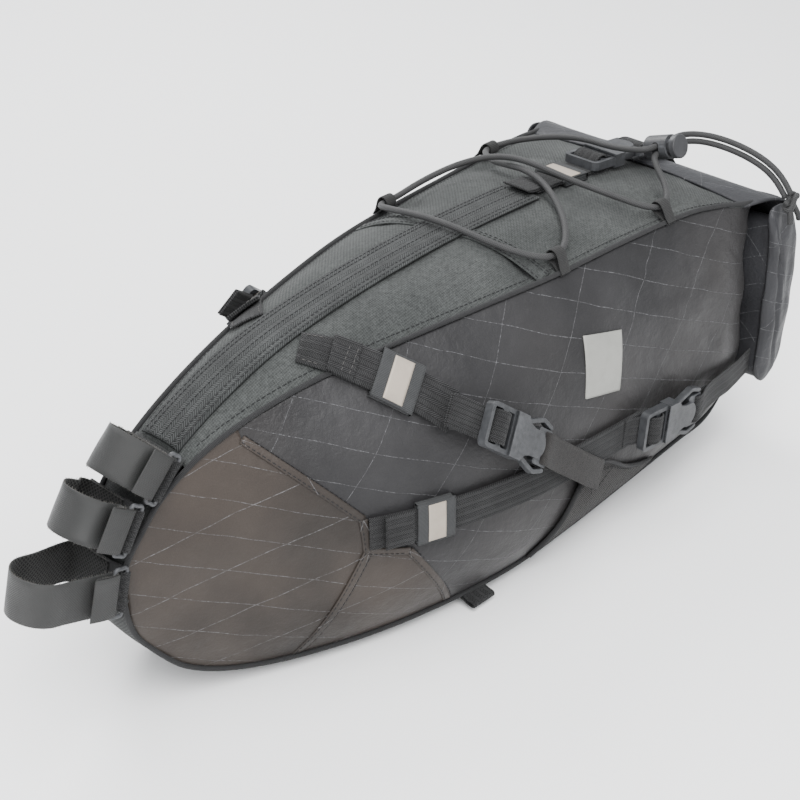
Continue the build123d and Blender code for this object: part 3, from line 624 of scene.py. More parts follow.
route_data = bpy.data.curves.new("cord_route", "CURVE")
route_data.dimensions = "3D"
route_data.resolution_u = 8
spline = route_data.splines.new("NURBS")
spline.points.add(len(CORD_ROUTE) - 1)
for spot, place in zip(spline.points, CORD_ROUTE):
    spot.co = (*place, 1)
spline.order_u = 3
spline.use_endpoint_u = True
route = new_object("cord_route", route_data)
line_mesh = bpy.data.meshes.new_from_object(route)
cord_line = [v.co.copy() for v in line_mesh.vertices]
bpy.data.objects.remove(route)
cord = tube("lacing_cord", [p / MM for p in cord_line], CORD / 2, CORD_BRAID, 14)
dress(cord, "bag", "cord", "shock_cord")

# Overhand knot with two short tails.
KNOT = Vector((286.3, -110.7, 183.5))
KNOT_STEPS = 40
knot_path = []
for k in range(KNOT_STEPS + 1):
    a = 2 * pi * k / KNOT_STEPS * 1.5
    wide = 3.0 + 1.2 * cos(2 * a)
    rise = 3.2 * sin(2 * a / 1.5 + 0.6) + 1.2 * cos(a)
    knot_path.append(KNOT + Vector((wide * cos(a), wide * sin(a), rise)))
knot_parts = [tube("knot_turn", smooth_curve(knot_path, 120), CORD / 2, CORD_BRAID, 12)]
for lean in (-1, 1):
    tail = [KNOT + Vector((x * lean, y, z))
            for x, y, z in ((1.5, -1, -2), (3.4, -2.2, -6), (4.6, -3.6, -9.5), (5.4, -4.4, -13))]
    sizes = [CORD / 2] * 18 + [CORD / 2 * 1.06, CORD / 2 * 0.7]
    knot_parts.append(tube("knot_tail", smooth_curve(tail, 20), sizes, CORD_BRAID, 12))
knot = join("lacing_knot", knot_parts)
dress(knot, "bag", "cord", "cord_knot")

# ---- the bag's smooth form
# One row per cross-section, from nose to tail: x, crown height, half width and height of
# the top seam, half width of the belly, height where the side ends, keel height.
STATIONS = np.array([
    (-194, 104, 20, 100, 20, 62, 62),
    (-186, 116, 20, 112, 25, 46, 46),
    (-166, 140, 21, 134, 33, 20, 20),
    (-134, 161, 25, 153, 47, 5, 4),
    (-85, 181, 34, 168, 70, 0, 0),
    (-30, 192, 46, 176, 90, 0, 0),
    (40, 199, 60, 182, 102, 0, 0),
    (100, 201, 68, 184, 103, 3, 0),
    (160, 200, 72, 186, 102, 8, 3),
    (220, 195, 78, 187, 101, 14, 10),
    (250, 189, 84, 184, 101, 18, 15),
    (270, 184, 89, 180, 101, 34, 34),
], float)
HEM_RATIO = 0.84
KEEL_RATIO = 0.5
NOSE_X = -194
NOSE_SPLIT = -150.0
TAIL_X = 279.0
SIDE_ROWS = 64


def station(x):
    """The six sizes of the cross-section at x, joined smoothly along the bag."""
    xs = STATIONS[:, 0]
    x = min(max(x, xs[0]), xs[-1])
    k = min(max(np.searchsorted(xs, x, side="right") - 1, 0), len(xs) - 2)
    slopes = []
    for i in (k, k + 1):
        a, b = max(i - 1, 0), min(i + 1, len(xs) - 1)
        slopes.append((STATIONS[b, 1:] - STATIONS[a, 1:]) / (xs[b] - xs[a]))
    w = xs[k + 1] - xs[k]
    t = (x - xs[k]) / w
    h00, h10 = 2 * t**3 - 3 * t**2 + 1, t**3 - 2 * t**2 + t
    h01, h11 = -2 * t**3 + 3 * t**2, t**3 - t**2
    return h00 * STATIONS[k, 1:] + h10 * w * slopes[0] + h01 * STATIONS[k + 1, 1:] + h11 * w * slopes[1]


def side_curve(x, count):
    """(y, z) points of the right side, from the top seam down to the lower seam."""
    crown, seam_y, seam_z, belly, hem, keel = station(x)
    tall = crown - hem
    points = [
        (seam_y, seam_z),
        (seam_y + 0.72 * (belly - seam_y), hem + 0.70 * tall),
        (belly, hem + 0.40 * tall),
        (0.97 * belly, hem + 0.18 * tall),
        (HEM_RATIO * belly, hem + 0.05 * tall),
    ]
    return smooth_curve(points, count)


def top_curve(x, count):
    """(y, z) points across the top, from seam to seam."""
    crown, seam_y, seam_z = station(x)[:3]
    shoulder = crown - 0.25 * (crown - seam_z)
    points = [(-seam_y, seam_z), (-0.6 * seam_y, shoulder), (0, crown), (0.6 * seam_y, shoulder),
              (seam_y, seam_z)]
    return smooth_curve(points, count)


def bottom_curve(x, count):
    """(y, z) points across the underside, from lower seam to lower seam."""
    crown, seam_y, seam_z, belly, hem, keel = station(x)
    edge = hem + 0.05 * (crown - hem)
    points = [(-HEM_RATIO * belly, edge), (-KEEL_RATIO * belly, keel + 0.4), (0, keel),
              (KEEL_RATIO * belly, keel + 0.4), (HEM_RATIO * belly, edge)]
    return smooth_curve(points, count)


def form_grid(curve, x_from, x_to, step, count):
    """Grid of points of one face of the form."""
    xs = np.linspace(x_from, x_to, int((x_to - x_from) / step) + 1)
    return np.array([[(x, y, z) for y, z in curve(x, count)] for x in xs])


side_form = form_grid(side_curve, NOSE_X, TAIL_X, 2.0, SIDE_ROWS)
top_form = form_grid(top_curve, NOSE_SPLIT, TAIL_X, 2.0, 64)
bottom_form = form_grid(bottom_curve, NOSE_SPLIT, TAIL_X - 4, 3.0, 40)
nose_top = form_grid(top_curve, NOSE_X, NOSE_SPLIT, 2.0, 24)


def form_tree():
    """Search tree of the smooth outer face, to lay straps and stitches on."""
    vertices, faces = [], []
    for grid in (side_form, side_form * (1, -1, 1), top_form, bottom_form, nose_top):
        faces += grid_faces(*grid.shape[:2], len(vertices))
        vertices += [Vector(p) for p in grid.reshape(-1, 3)]
    return BVHTree.FromPolygons(vertices, faces)


TREE = form_tree()
REACH = 90


def drop(point, facing):
    """Where a line from outside meets the form, and the outward normal there."""
    facing = Vector(facing).normalized()
    hit, normal = TREE.ray_cast(Vector(point) + facing * REACH, -facing, 3 * REACH)[:2]
    if hit is None:
        hit, normal = TREE.find_nearest(Vector(point))[:2]
    if normal.dot(facing) < 0:
        normal = -normal
    return hit, normal


def straight(start, end, facing):
    """A straight run: its start, its whole length as a vector, where it faces, and across it."""
    start, facing = Vector(start), Vector(facing)
    whole = Vector(end) - start
    along = whole.normalized()
    facing = (facing - along * facing.dot(along)).normalized()
    return start, whole, facing, facing.cross(along)


def lay(start, end, facing, offset=0.0, high=0.0, step=2.0):
    """Points and normals along a straight run laid on the form, at a height above it."""
    start, whole, facing, side = straight(start, end, facing)
    count = max(int(whole.length / step), 4) + 1
    points, normals = [], []
    for i in range(count):
        hit, normal = drop(start + whole * i / (count - 1) + side * offset, facing)
        points.append(hit + normal * high)
        normals.append(normal)
    return points, normals


def blur(grid, rounds):
    """Even out a grid of vectors along its rows."""
    for _ in range(rounds):
        inner = (grid[:-2] + 2 * grid[1:-1] + grid[2:]) / 4
        grid = np.concatenate([grid[:1], inner, grid[-1:]])
    return grid


def laid_strap(name, start, end, facing, width, layer, material, columns=9, step=2.0, lift=(0, 1)):
    """A flat strap on the form, in a layer (low, high). Its start is lifted (height, fade)."""
    start, whole, facing, side = straight(start, end, facing)
    low, high = layer
    rows = max(int(whole.length / step), 6) + 1
    places, share = rounded_columns(width, high - low, columns)
    base = np.zeros((rows, len(places), 3))
    out = np.zeros_like(base)
    for i in range(rows):
        for j, place in enumerate(places):
            base[i, j], out[i, j] = drop(start + whole * i / (rows - 1) + side * place, facing)
    base, out = blur(base, 3), unit(blur(out, 6))
    height, fade = lift
    rise = np.array([(low + high) / 2 + height * exp(-i / (rows - 1) / fade) for i in range(rows)])
    half = (high - low) / 2 * share[None, :, None]
    upper = base + out * (rise[:, None, None] + half)
    lower = base + out * (rise[:, None, None] - half)
    run = run_along(base[:, len(places) // 2])
    return slab(name, upper, lower, surface(run, places), material)


# ---- cloth panels
PATCH_TOP, PATCH_CORNER, PATCH_NOTCH, PATCH_FOOT = (-118, 153), (-70, 97), (-69, 76), (-112, -10)
LOWER_TOP, LOWER_FOOT = (-45, 69), (5, -10)
CLOTH = 1.6
TUCK_X = 236
TUCK_DEPTH = 13


def bell(value, centre, width):
    return exp(-((value - centre) / width) ** 2)


def ramp(value, start, length):
    """0 up to a start, then evenly up to 1 over a length."""
    return min(max((value - start) / length, 0), 1)


def side_sink(x, z, row):
    """How far the side cloth lies in from the taut form, in mm: folds, puckers, slack."""
    from_top = row / (SIDE_ROWS - 1)
    sink = 1.1 * (noise.noise(Vector((x / 55, z / 48, 3.1))) + 0.45)
    pucker = noise.noise(Vector((x / 9, z / 60, 7.7)))
    sink += 1.9 * max(pucker, 0) * exp(-from_top / 0.12)
    sink += 0.8 * max(pucker, 0) * exp(-(1 - from_top) / 0.07)
    slant = x + 0.8 * z
    crease = noise.noise(Vector((slant / 15, (z - x) / 120, 1.3)))
    tight = ramp(x, 110, 90) * exp(-from_top / 0.28)
    sink += 6.0 * max(crease, 0) * tight
    shelf = noise.noise(Vector((x / 45, z / 20, 9.2)))
    sink += 2.2 * max(shelf, 0) * ramp(x, 60, 120)
    strap_line = 88 - 0.06 * (x + 68)
    sink += 1.6 * bell(z - strap_line + 14, 0, 8) * (1 if -60 < x < 165 else 0.3)
    return max(sink, 0)


def tail_fold(x, z, from_top):
    """The side tucks in towards the roll near the tail, in mm."""
    if x < TUCK_X:
        return 0.0
    share = (x - TUCK_X) / (TAIL_X - TUCK_X)
    waist = sin(pi * min(max(from_top, 0), 1)) ** 0.6
    ripple = 1 + 0.25 * noise.noise(Vector((z / 26, 4.0, 0)))
    return TUCK_DEPTH * share**1.8 * waist * ripple


wrinkled_side = side_form.copy()
side_normals = grid_normals(side_form)
if side_normals[100, 30, 1] < 0:
    side_normals = -side_normals
for i in range(side_form.shape[0]):
    for j in range(SIDE_ROWS):
        x, y, z = side_form[i, j]
        share = j / (SIDE_ROWS - 1)
        edge = min(1, 6 * share, 6 * (1 - share))
        near = side_sink(x, z, j) * (0.15 + 0.85 * edge) * (1 if x > -186 else 0.3)
        wrinkled_side[i, j] -= side_normals[i, j] * near
        wrinkled_side[i, j, 1] -= tail_fold(x, z, share)


def inside(point, outline):
    """Whether a side-view point is in an outline."""
    x, z = point
    odd = False
    for (x1, z1), (x2, z2) in zip(outline, outline[1:] + outline[:1]):
        if (z1 > z) != (z2 > z) and x < (x2 - x1) * (z - z1) / (z2 - z1) + x1:
            odd = not odd
    return odd


NOSE_OUTLINE = [(-230, -20), (-116, -20), PATCH_NOTCH, PATCH_CORNER, PATCH_TOP, (-128, 230), (-230, 230)]
LOWER_OUTLINE = [(-116, -20), (12, -20), LOWER_TOP, PATCH_NOTCH]
CUTS = [(PATCH_TOP, PATCH_CORNER), (PATCH_CORNER, PATCH_NOTCH), (PATCH_NOTCH, PATCH_FOOT),
        (PATCH_NOTCH, LOWER_TOP), (LOWER_TOP, LOWER_FOOT)]
SIDE_PIECES = [("side_panel", SIDE_CLOTH, "laminate_cloth"), ("nose_patch", PATCH_CLOTH, "patch_cloth"),
               ("lower_patch", PATCH_CLOTH, "patch_cloth")]


def side_pieces(side, word):
    """The side's three cloth panels, cut from one wrinkled surface along their seams."""
    grid = wrinkled_side * (1, side, 1)
    for which, (name, material, slot) in enumerate(SIDE_PIECES):
        bm = bmesh.new()
        flat = bm.loops.layers.uv.new("surface")
        spots = [bm.verts.new(Vector(p) * MM) for p in grid.reshape(-1, 3)]
        for face in grid_faces(*grid.shape[:2]):
            bm.faces.new([spots[corner] for corner in face])
        for (x1, z1), (x2, z2) in CUTS:
            bmesh.ops.bisect_plane(bm, geom=bm.verts[:] + bm.edges[:] + bm.faces[:], dist=1e-7,
                                   plane_co=Vector((x1, 0, z1)) * MM,
                                   plane_no=Vector((z2 - z1, 0, x1 - x2)))
        unwanted = []
        for face in bm.faces:
            x, _, z = face.calc_center_median() / MM
            found = 1 if inside((x, z), NOSE_OUTLINE) else 2 if inside((x, z), LOWER_OUTLINE) else 0
            if found != which:
                unwanted.append(face)
        bmesh.ops.delete(bm, geom=unwanted, context="FACES")
        bmesh.ops.recalc_face_normals(bm, faces=bm.faces)
        if sum(face.normal.y for face in bm.faces) * side < 0:
            bmesh.ops.reverse_faces(bm, faces=bm.faces)
        for face in bm.faces:
            face.smooth = True
            for corner in face.loops:
                corner[flat].uv = (corner.vert.co.x, corner.vert.co.z)
        mesh = bpy.data.meshes.new(f"{name}_cloth_{word}")
        bm.to_mesh(mesh)
        bm.free()
        mesh.materials.append(material)
        piece = new_object(mesh.name, mesh)
        thicken = piece.modifiers.new("cloth", "SOLIDIFY")
        thicken.thickness = CLOTH * MM
        thicken.offset = -1
        dress(piece, "bag", slot, f"{name}_{word}")


for side, word in SIDES:
    side_pieces(side, word)


def panel(name, grid, sink, material, slot, node, outward, thick=CLOTH, uv=None):
    """One cloth panel: a form grid let in by sink(point, share across), given thickness."""
    normals = grid_normals(grid)
    middle = normals[normals.shape[0] // 2, normals.shape[1] // 2]
    if Vector(middle).dot(Vector(outward)) < 0:
        normals = -normals
    upper = grid.copy()
    for i in range(grid.shape[0]):
        for j in range(grid.shape[1]):
            share = j / (grid.shape[1] - 1)
            upper[i, j] -= normals[i, j] * sink(grid[i, j], share)
    flat = grid[:, :, :2] if uv is None else uv
    dress(slab(name, upper, upper - normals * thick, flat, material), "bag", slot, node)


def top_sink(p, share):
    """Slack and puckers of the top cloth, and the dips beside the four tape loops."""
    x, y, z = p
    edge = min(share, 1 - share)
    sink = 1.3 * (noise.noise(Vector((x / 40, y / 34, 5.0))) + 0.3)
    sink += 1.5 * max(noise.noise(Vector((x / 11, y / 50, 2.0))), 0) * exp(-edge / 0.07)
    for cx, cy in ((105, -66), (90, 65), (200, -74), (197, 74)):
        sink += 2.4 * bell(hypot(x - cx, y - cy * 0.86), 16, 9)
    crease = noise.noise(Vector(((x - 0.6 * y) / 16, (y + x) / 90, 8.0)))
    sink += 1.8 * max(crease, 0) * ramp(x, 20, 80)
    return max(sink, 0) * min(1, 12 * edge + 0.1)


panel("top_cloth", top_form, top_sink, TOP_CLOTH, "woven_cloth", "top_panel", UP)
panel("bottom_cloth", bottom_form, lambda p, share: 0.25 + 0.2 * noise.noise(Vector(p) / 30),
      SIDE_CLOTH, "laminate_cloth", "bottom_panel", (0, 0, -1), 1.4)

# Nose gusset: one strip that comes over the nose and turns under the bag.
GUSSET_HALF = 20.3
NOSE_MIDDLE = (-120, 82)
gusset_line = [(NOSE_SPLIT + 1, station(NOSE_SPLIT)[0]), (-166, 140), (-180, 124.5), (-191, 108),
               (-196.5, 92), (-197, 76), (-193.5, 60), (-184, 43), (-166, 20.5),
               (NOSE_SPLIT, station(NOSE_SPLIT)[5])]
gusset_path = smooth_curve(gusset_line, 100)
gusset_across = np.linspace(-1, 1, 17)
gusset_grid = np.array([[(x, GUSSET_HALF * k, z) for k in gusset_across] for x, z in gusset_path])
for i, (x, z) in enumerate(gusset_path):
    droop = 5.0 if z > NOSE_MIDDLE[1] else 2.0
    outward = np.array(Vector((x - NOSE_MIDDLE[0], 0, z - NOSE_MIDDLE[1])).normalized())
    for j, k in enumerate(gusset_across):
        gusset_grid[i, j] -= outward * droop * 0.9 * k * k * (0.5 + 0.5 * min(1, abs(x + 150) / 30))
gusset_uv = surface(run_along(gusset_path), GUSSET_HALF * gusset_across)
panel("nose_gusset", gusset_grid, lambda p, share: 0.3 * abs(noise.noise(Vector(p) / 14)), GUSSET_CLOTH,
      "patch_cloth", "nose_panel", (-1, 0, 0), uv=gusset_uv)


# ---- seams, piping, binding
PIPING_RADIUS = 1.55


def seam_line(side):
    """The loop round one side panel: along the top seam, round the nose, along the hem."""
    def beside(x, end, out, up):
        y, z = side_curve(x, 3)[end]
        return x, side * (y + out), z + up

    nose = [(-195, side * 20.6, 92), (-196, side * 20.4, 80), (-194.5, side * 20.2, 68)]
    return ([beside(x, 0, 0.5, 0.9) for x in range(274, -195, -12)] + nose
            + [beside(x, -1, 0.6, -0.8) for x in range(-190, 272, 12)])


for side, word in SIDES:
    piping = tube(f"piping_{word}", smooth_curve(seam_line(side), 560), PIPING_RADIUS, EDGE_TAPE)
    dress(piping, "bag", "binding", *once(side, "side_piping"))

# Patch seams: a folded edge of the patch cloth with a stitched row on each side of it.
SEAM_RUNS = [
    (PATCH_TOP, PATCH_CORNER, 5.0), (PATCH_CORNER, PATCH_NOTCH, 5.0), (PATCH_NOTCH, (-108, 3), 4.6),
    (LOWER_TOP, (-2.5, 4), 4.6), (PATCH_NOTCH, LOWER_TOP, 4.6),
]
BESIDE = 60
for side, word in SIDES:
    edges, rows = [], []
    for (x1, z1), (x2, z2), width in SEAM_RUNS:
        run = (x1, side * BESIDE, z1), (x2, side * BESIDE, z2), (0, side, 0)
        edges.append(laid_strap("seam_fold", *run, width, (-0.5, 0.75), PATCH_CLOTH, 5))
        rows += [lay(*run, -1.3, 0.75), lay(*run, 2.9, -0.3)]
    dress(join(f"seam_folds_{word}", edges), "bag", "patch_cloth")
    stitches(f"seam_stitches_{word}", rows, "patch_cloth")
    points, normals = [], []
    for x in range(-140, 268, 3):
        y, z = top_curve(x, 41)[0 if side < 0 else -1]
        hit, normal = drop((x, y - side * 4.5, z), UP)
        points.append(hit + normal * 0.05)
        normals.append(normal)
    stitches(f"top_seam_stitches_{word}", [(points, normals)], "woven_cloth")

# ---- webbing along the top
WEB = 20.0
LOOSE_WEB, WEB_THICK = WEB - 1.0, 1.2
LOWER_LAYER, UPPER_LAYER, HEM_LAYER = (1.4, 2.5), (2.8, 4.0), (4.1, 5.2)

spine = laid_strap("spine_strap", (-148, 0, 152), (148, 0, 200), UP, 30, (0.7, 1.9), SPINE_WEB, 13)
dress(spine, "bag", "webbing", "spine_webbing")
spine_rows = [lay((-146, 0, 152), (146, 0, 200), UP, offset, 1.95) for offset in (-12.6, -9.6, 0, 9.6, 12.6)]
stitches("spine_stitches", spine_rows, "webbing")
CROSS_RUN = ((92, -66, 184), (64, 59, 184), UP)
dress(laid_strap("cross_strip", *CROSS_RUN, 12, (-0.4, 0.9), TOP_CLOTH, 7), "bag", "webbing", "cross_seam")
cross_rows = [lay(*CROSS_RUN, offset, 0.95) for offset in (-4.4, -2.2, 4.6)]
stitches("cross_stitches", cross_rows, "webbing")


def sewn_webbing(name, node, facing, lower, upper, hem, upper_lift, hem_lift):
    """Webbing sewn on in two layers, its end folded. Each layer runs from start to end."""
    layers = [laid_strap("lower", *lower, facing, WEB, LOWER_LAYER, STRAP_WEB),
              laid_strap("upper", *upper, facing, WEB, UPPER_LAYER, STRAP_WEB, lift=upper_lift),
              laid_strap("hem", *hem, facing, WEB, HEM_LAYER, STRAP_WEB, lift=hem_lift)]
    dress(join(name, layers), "bag", "webbing", node)


sewn_webbing("top_webbing", "top_strap", UP, ((152, 0, 200), (222, 0, 197)), ((142, 0, 200), (220, 0, 197)),
             ((141, 0, 200), (160, 0, 200)), (2.2, 0.05), (1.6, 0.3))


def keeper(name, start, end, facing):
    """Elastic band over a strap with its reflective patch."""
    start, end = Vector(start), Vector(end)
    pieces = [laid_strap("band", start, end, facing, WEB + 3.4, (4.3, 5.3), ELASTIC, 11, 1.5)]
    across = straight(start, end, facing)[3]
    for edge in (-1, 1):
        shift = across * edge * (WEB / 2 + 1.2)
        run = start + shift, end + shift, facing
        pieces.append(laid_strap("edge", *run, 1.0, (0.3, 5.1), ELASTIC, 3, 1.5))
    dress(join(f"{name}_band", pieces), "bag", "elastic", name)
    third = (end - start) * 0.27
    patch = laid_strap(f"{name}_patch", start + third, end - third, facing, WEB + 2.6, (5.15, 5.65),
                       SILVER, 9, 1.2)
    dress(patch, "bag", "elastic")


keeper("top_keeper", (176, 0, 200), (198, 0, 198), UP)

# ---- rail and closure straps
STRAP_SLOPE = radians(5.7)
RAIL_ROOT = Vector((-65, -20.5, 183))
RAIL_ALONG = Vector((0.775, -0.13, -0.619)).normalized()
RAIL_OUT = Vector((0.06, -0.965, 0.28)).normalized()
RAIL_OUT = (RAIL_OUT - RAIL_ALONG * RAIL_OUT.dot(RAIL_ALONG)).normalized()
SHOULDER = Vector((0.25, -0.62, 0.72))
CLOSE_ROOT = Vector((-68, -76, 88))
CLOSE_ALONG = Vector((cos(STRAP_SLOPE), 0, -sin(STRAP_SLOPE)))
TOP_OUT = Vector((sin(STRAP_SLOPE), 0, cos(STRAP_SLOPE)))
# Each buckle: its centre, the direction along its strap and the direction it faces.
RAIL_BUCKLE = (Vector((29, -108, 118)), RAIL_ALONG, RAIL_OUT)
CLOSE_BUCKLE = (Vector((176, -113, 73)), CLOSE_ALONG, Vector((0, -1, 0)))
TOP_BUCKLE = (Vector((245, 0, 199.5)), CLOSE_ALONG, TOP_OUT)


def flip(v, side):
    """A left-side point or direction, or its mirror image on the right."""
    v = Vector(v)
    return v if side < 0 else Vector((v.x, -v.y, v.z))


def part_way(a, b, share):
    return a + (b - a) * share


def at_buckle(buckle, places):
    """Left-side points from (along, out) distances at a buckle."""
    centre, along, out = buckle
    return [centre + along * u + out * w for u, w in places]


# Webbing in a ladder frame, up over the middle bar and back. Its two tail ends are given
# apart: where the webbing comes in, the point after that, and where it goes out.
LADDER_TURN = [(-41.5, -4.4), (-36.6, -3.0), (-34.0, 1.6), (-31.0, 4.2), (-28.0, 4.8), (-25.2, 4.2),
               (-22.6, 1.6), (-20.8, -3.0), (-23.4, -5.9), (-32, -6.6), (-44, -7.4)]
LONG_TAILS = ((-62, -8.204), (-50, -5.6), (-62, -9.794))
SHORT_TAILS = ((-51, -5.817), (-44, -5.6), (-51, -8.331))


def ladder_webbing(name, buckle, body, side, tails=LONG_TAILS):
    """Webbing threaded through a buckle's ladder frame."""
    centre, along, out = buckle
    points = [flip(p, side) for p in at_buckle(buckle, [*tails[:2], *LADDER_TURN, tails[2]])]
    loop = strip(name, points, flip(out.cross(along), side), LOOSE_WEB, WEB_THICK, STRAP_WEB, 150, 9)
    dress(loop, body, "webbing")


for side, word in SIDES:
    centre, along, out = RAIL_BUCKLE
    root, end = flip(RAIL_ROOT, side), flip(centre - along * 24 - out * 9, side)
    shoulder = flip(SHOULDER, side)
    stop = end - (end - root).normalized() * 25
    sewn_webbing(f"rail_webbing_{word}", f"rail_strap_{word}", shoulder, (root, stop),
                 (part_way(root, end, 0.14), stop), (part_way(root, end, 0.138), part_way(root, end, 0.27)),
                 (1.8, 0.06), (1.5, 0.3))
    box_rows = []
    for offset in (-8, 8):
        box_rows.append(lay(part_way(root, end, 0.02), part_way(root, end, 0.12), shoulder, offset, 2.55))
    for share in (0.17, 0.2, 0.24):
        spot = part_way(root, end, share)
        across = shoulder.cross((end - root).normalized()).normalized() * 8
        box_rows.append(lay(spot - across, spot + across, shoulder, 0, 5.3, 1.5))
    stitches(f"rail_stitches_{word}", box_rows, "webbing", PALE_THREAD)
    keeper(f"rail_keeper_{word}", part_way(root, end, 0.37), part_way(root, end, 0.59), shoulder)
    ladder_webbing(f"rail_ladder_web_{word}", RAIL_BUCKLE, f"rail_socket_{word}", side)

    centre, along, out = CLOSE_BUCKLE
    root, end = flip(CLOSE_ROOT, side), flip(centre - along * 26 - out * 10, side)
    facing = flip(out, side)
    sewn_webbing(f"closure_webbing_{word}", f"closure_strap_{word}", facing, (root, end),
                 (part_way(root, end, 0.04), end), (part_way(root, end, 0.036), part_way(root, end, 0.115)),
                 (0, 1), (1.2, 0.3))
    keeper(f"closure_keeper_{word}", part_way(root, end, 0.125), part_way(root, end, 0.235), facing)
    ladder_webbing(f"closure_ladder_web_{word}", CLOSE_BUCKLE, f"closure_socket_{word}", side, SHORT_TAILS)

    # Smooth tab that holds the rail plug, over the closure strap to the wing.
    tab_path = at_buckle(RAIL_BUCKLE, ((30, -4.0), (16.5, -3.6), (13.0, -1.2), (13.6, 2.6), (17.5, 3.6),
                                       (24, 2.0)))
    tab_path += [(68, -111.6, 87), (84, -111.8, 74), (100, -109.8, 62)]
    tab = strip(f"rail_tab_cloth_{word}", [flip(p, side) for p in tab_path],
                flip(RAIL_OUT.cross(RAIL_ALONG), side), WEB - 0.6, 1.4, TAB_CLOTH, 120, 9)
    dress(tab, "bag", "elastic", f"rail_tab_{word}")

# ---- wings under the tabs
WING_ROWS, WING_COLUMNS = 70, 24
WING_LIFT, WING_HALF = 1.3, 0.7
for side, word in SIDES:
    top_edge = smooth_curve([(58, 14), (74, 37), (88, 60), (100, 67), (116, 62), (134, 50), (176, 34)],
                            WING_ROWS)
    bottom_edge = smooth_curve([(60, 9), (80, 9), (120, 10), (150, 14), (178, 28)], WING_ROWS)
    grid = np.zeros((WING_ROWS, WING_COLUMNS, 3))
    out = np.zeros_like(grid)
    swell = np.zeros((WING_ROWS, WING_COLUMNS, 1))
    for i in range(WING_ROWS):
        for j in range(WING_COLUMNS):
            share = j / (WING_COLUMNS - 1)
            x, z = top_edge[i] * (1 - share) + bottom_edge[i] * share
            grid[i, j], out[i, j] = drop((x, side * BESIDE, z), (0, side, 0))
            swell[i, j] = noise.noise(Vector(grid[i, j]) / 20)
    out = unit(blur(out, 4))
    height = WING_LIFT + 0.3 * swell
    upper = grid + out * (height + WING_HALF)
    lower = grid + out * (height - WING_HALF)
    wing = slab(f"wing_cloth_{word}", upper, lower, grid[:, :, [0, 2]], WING_CLOTH)
    dress(wing, "bag", "wing_cloth", f"wing_{word}")
    edge_path = upper[:, 0] + out[:, 0] * 0.1
    binding = tube(f"wing_binding_{word}", smooth_curve(edge_path[::5], 90), 1.5, EDGE_TAPE, 8)
    dress(binding, "bag", "binding")
    rows = [(upper[:, 2] + out[:, 2] * 0.05, out[:, 2])]
    box = [(96, 61), (120, 57), (101, 44), (96, 61)]
    for (x1, z1), (x2, z2) in zip(box, box[1:]):
        rows.append(lay((x1, side * BESIDE, z1), (x2, side * BESIDE, z2), (0, side, 0), 0, 2.1, 1.5))
    stitches(f"wing_stitches_{word}", rows, "wing_cloth")

# ---- rolled mouth
ROLL_HALF, MOUTH_HALF = 103.0, 89
ROLL_MIDDLE_Z = 108
# From the mouth the sheet widens to the roll's width, and its arch over the top flattens.
WIDEN_RUN, ARCH_RUN, ARCH_DROP = 42, 30, 6.2
ROLL_SHEET_HALF = 0.9
roll_path = [(266, 186.0), (280, 184.5), (295, 178), (306, 165), (310.4, 148), (310.4, 110), (309.4, 72),
             (303, 50), (292, 44.4), (283.5, 51), (282, 80), (282.2, 120), (283, 150), (288, 163),
             (296, 164), (302.5, 154), (303.6, 120), (302.5, 80), (297, 62), (290.5, 62), (288.4, 84),
             (289, 120), (291, 138)]
line = smooth_curve(roll_path, 210)
roll_run = run_along(line)
across = np.linspace(-ROLL_HALF, ROLL_HALF, 84)
roll_grid = np.zeros((len(line), len(across), 3))
for i, (x, z) in enumerate(line):
    for j, y in enumerate(across):
        pull = bell(abs(y), 103, 26)
        wrap = noise.noise(Vector((y / 30, z / 45, 6.0 + 0.002 * i)))
        squeeze = 1 - 0.045 * pull
        dx = 1.4 * wrap - 1.6 * pull * (x - 296) / 15
        half = ROLL_HALF
        if roll_run[i] < WIDEN_RUN:
            half = MOUTH_HALF + (ROLL_HALF - MOUTH_HALF) * (roll_run[i] / WIDEN_RUN) ** 0.8
            dx = 0
            squeeze = 1
        sag = 2.0 * noise.noise(Vector((y / 22, 0.5, 2.0))) * min(roll_run[i] / 40, 1)
        high = ROLL_MIDDLE_Z + (z - ROLL_MIDDLE_Z) * squeeze + sag * (z > 60)
        if roll_run[i] < ARCH_RUN:
            high = z - ARCH_DROP * (y / ROLL_HALF) ** 2 * (1 - roll_run[i] / ARCH_RUN)
        roll_grid[i, j] = (x + dx, y / ROLL_HALF * half, high)
sheet_half = grid_normals(roll_grid) * ROLL_SHEET_HALF
roll_uv = np.stack(np.broadcast_arrays(across[None, :], roll_run[:, None]), 2)
roll_parts = [slab("roll_sheet", roll_grid + sheet_half, roll_grid - sheet_half, roll_uv, ROLL_CLOTH)]
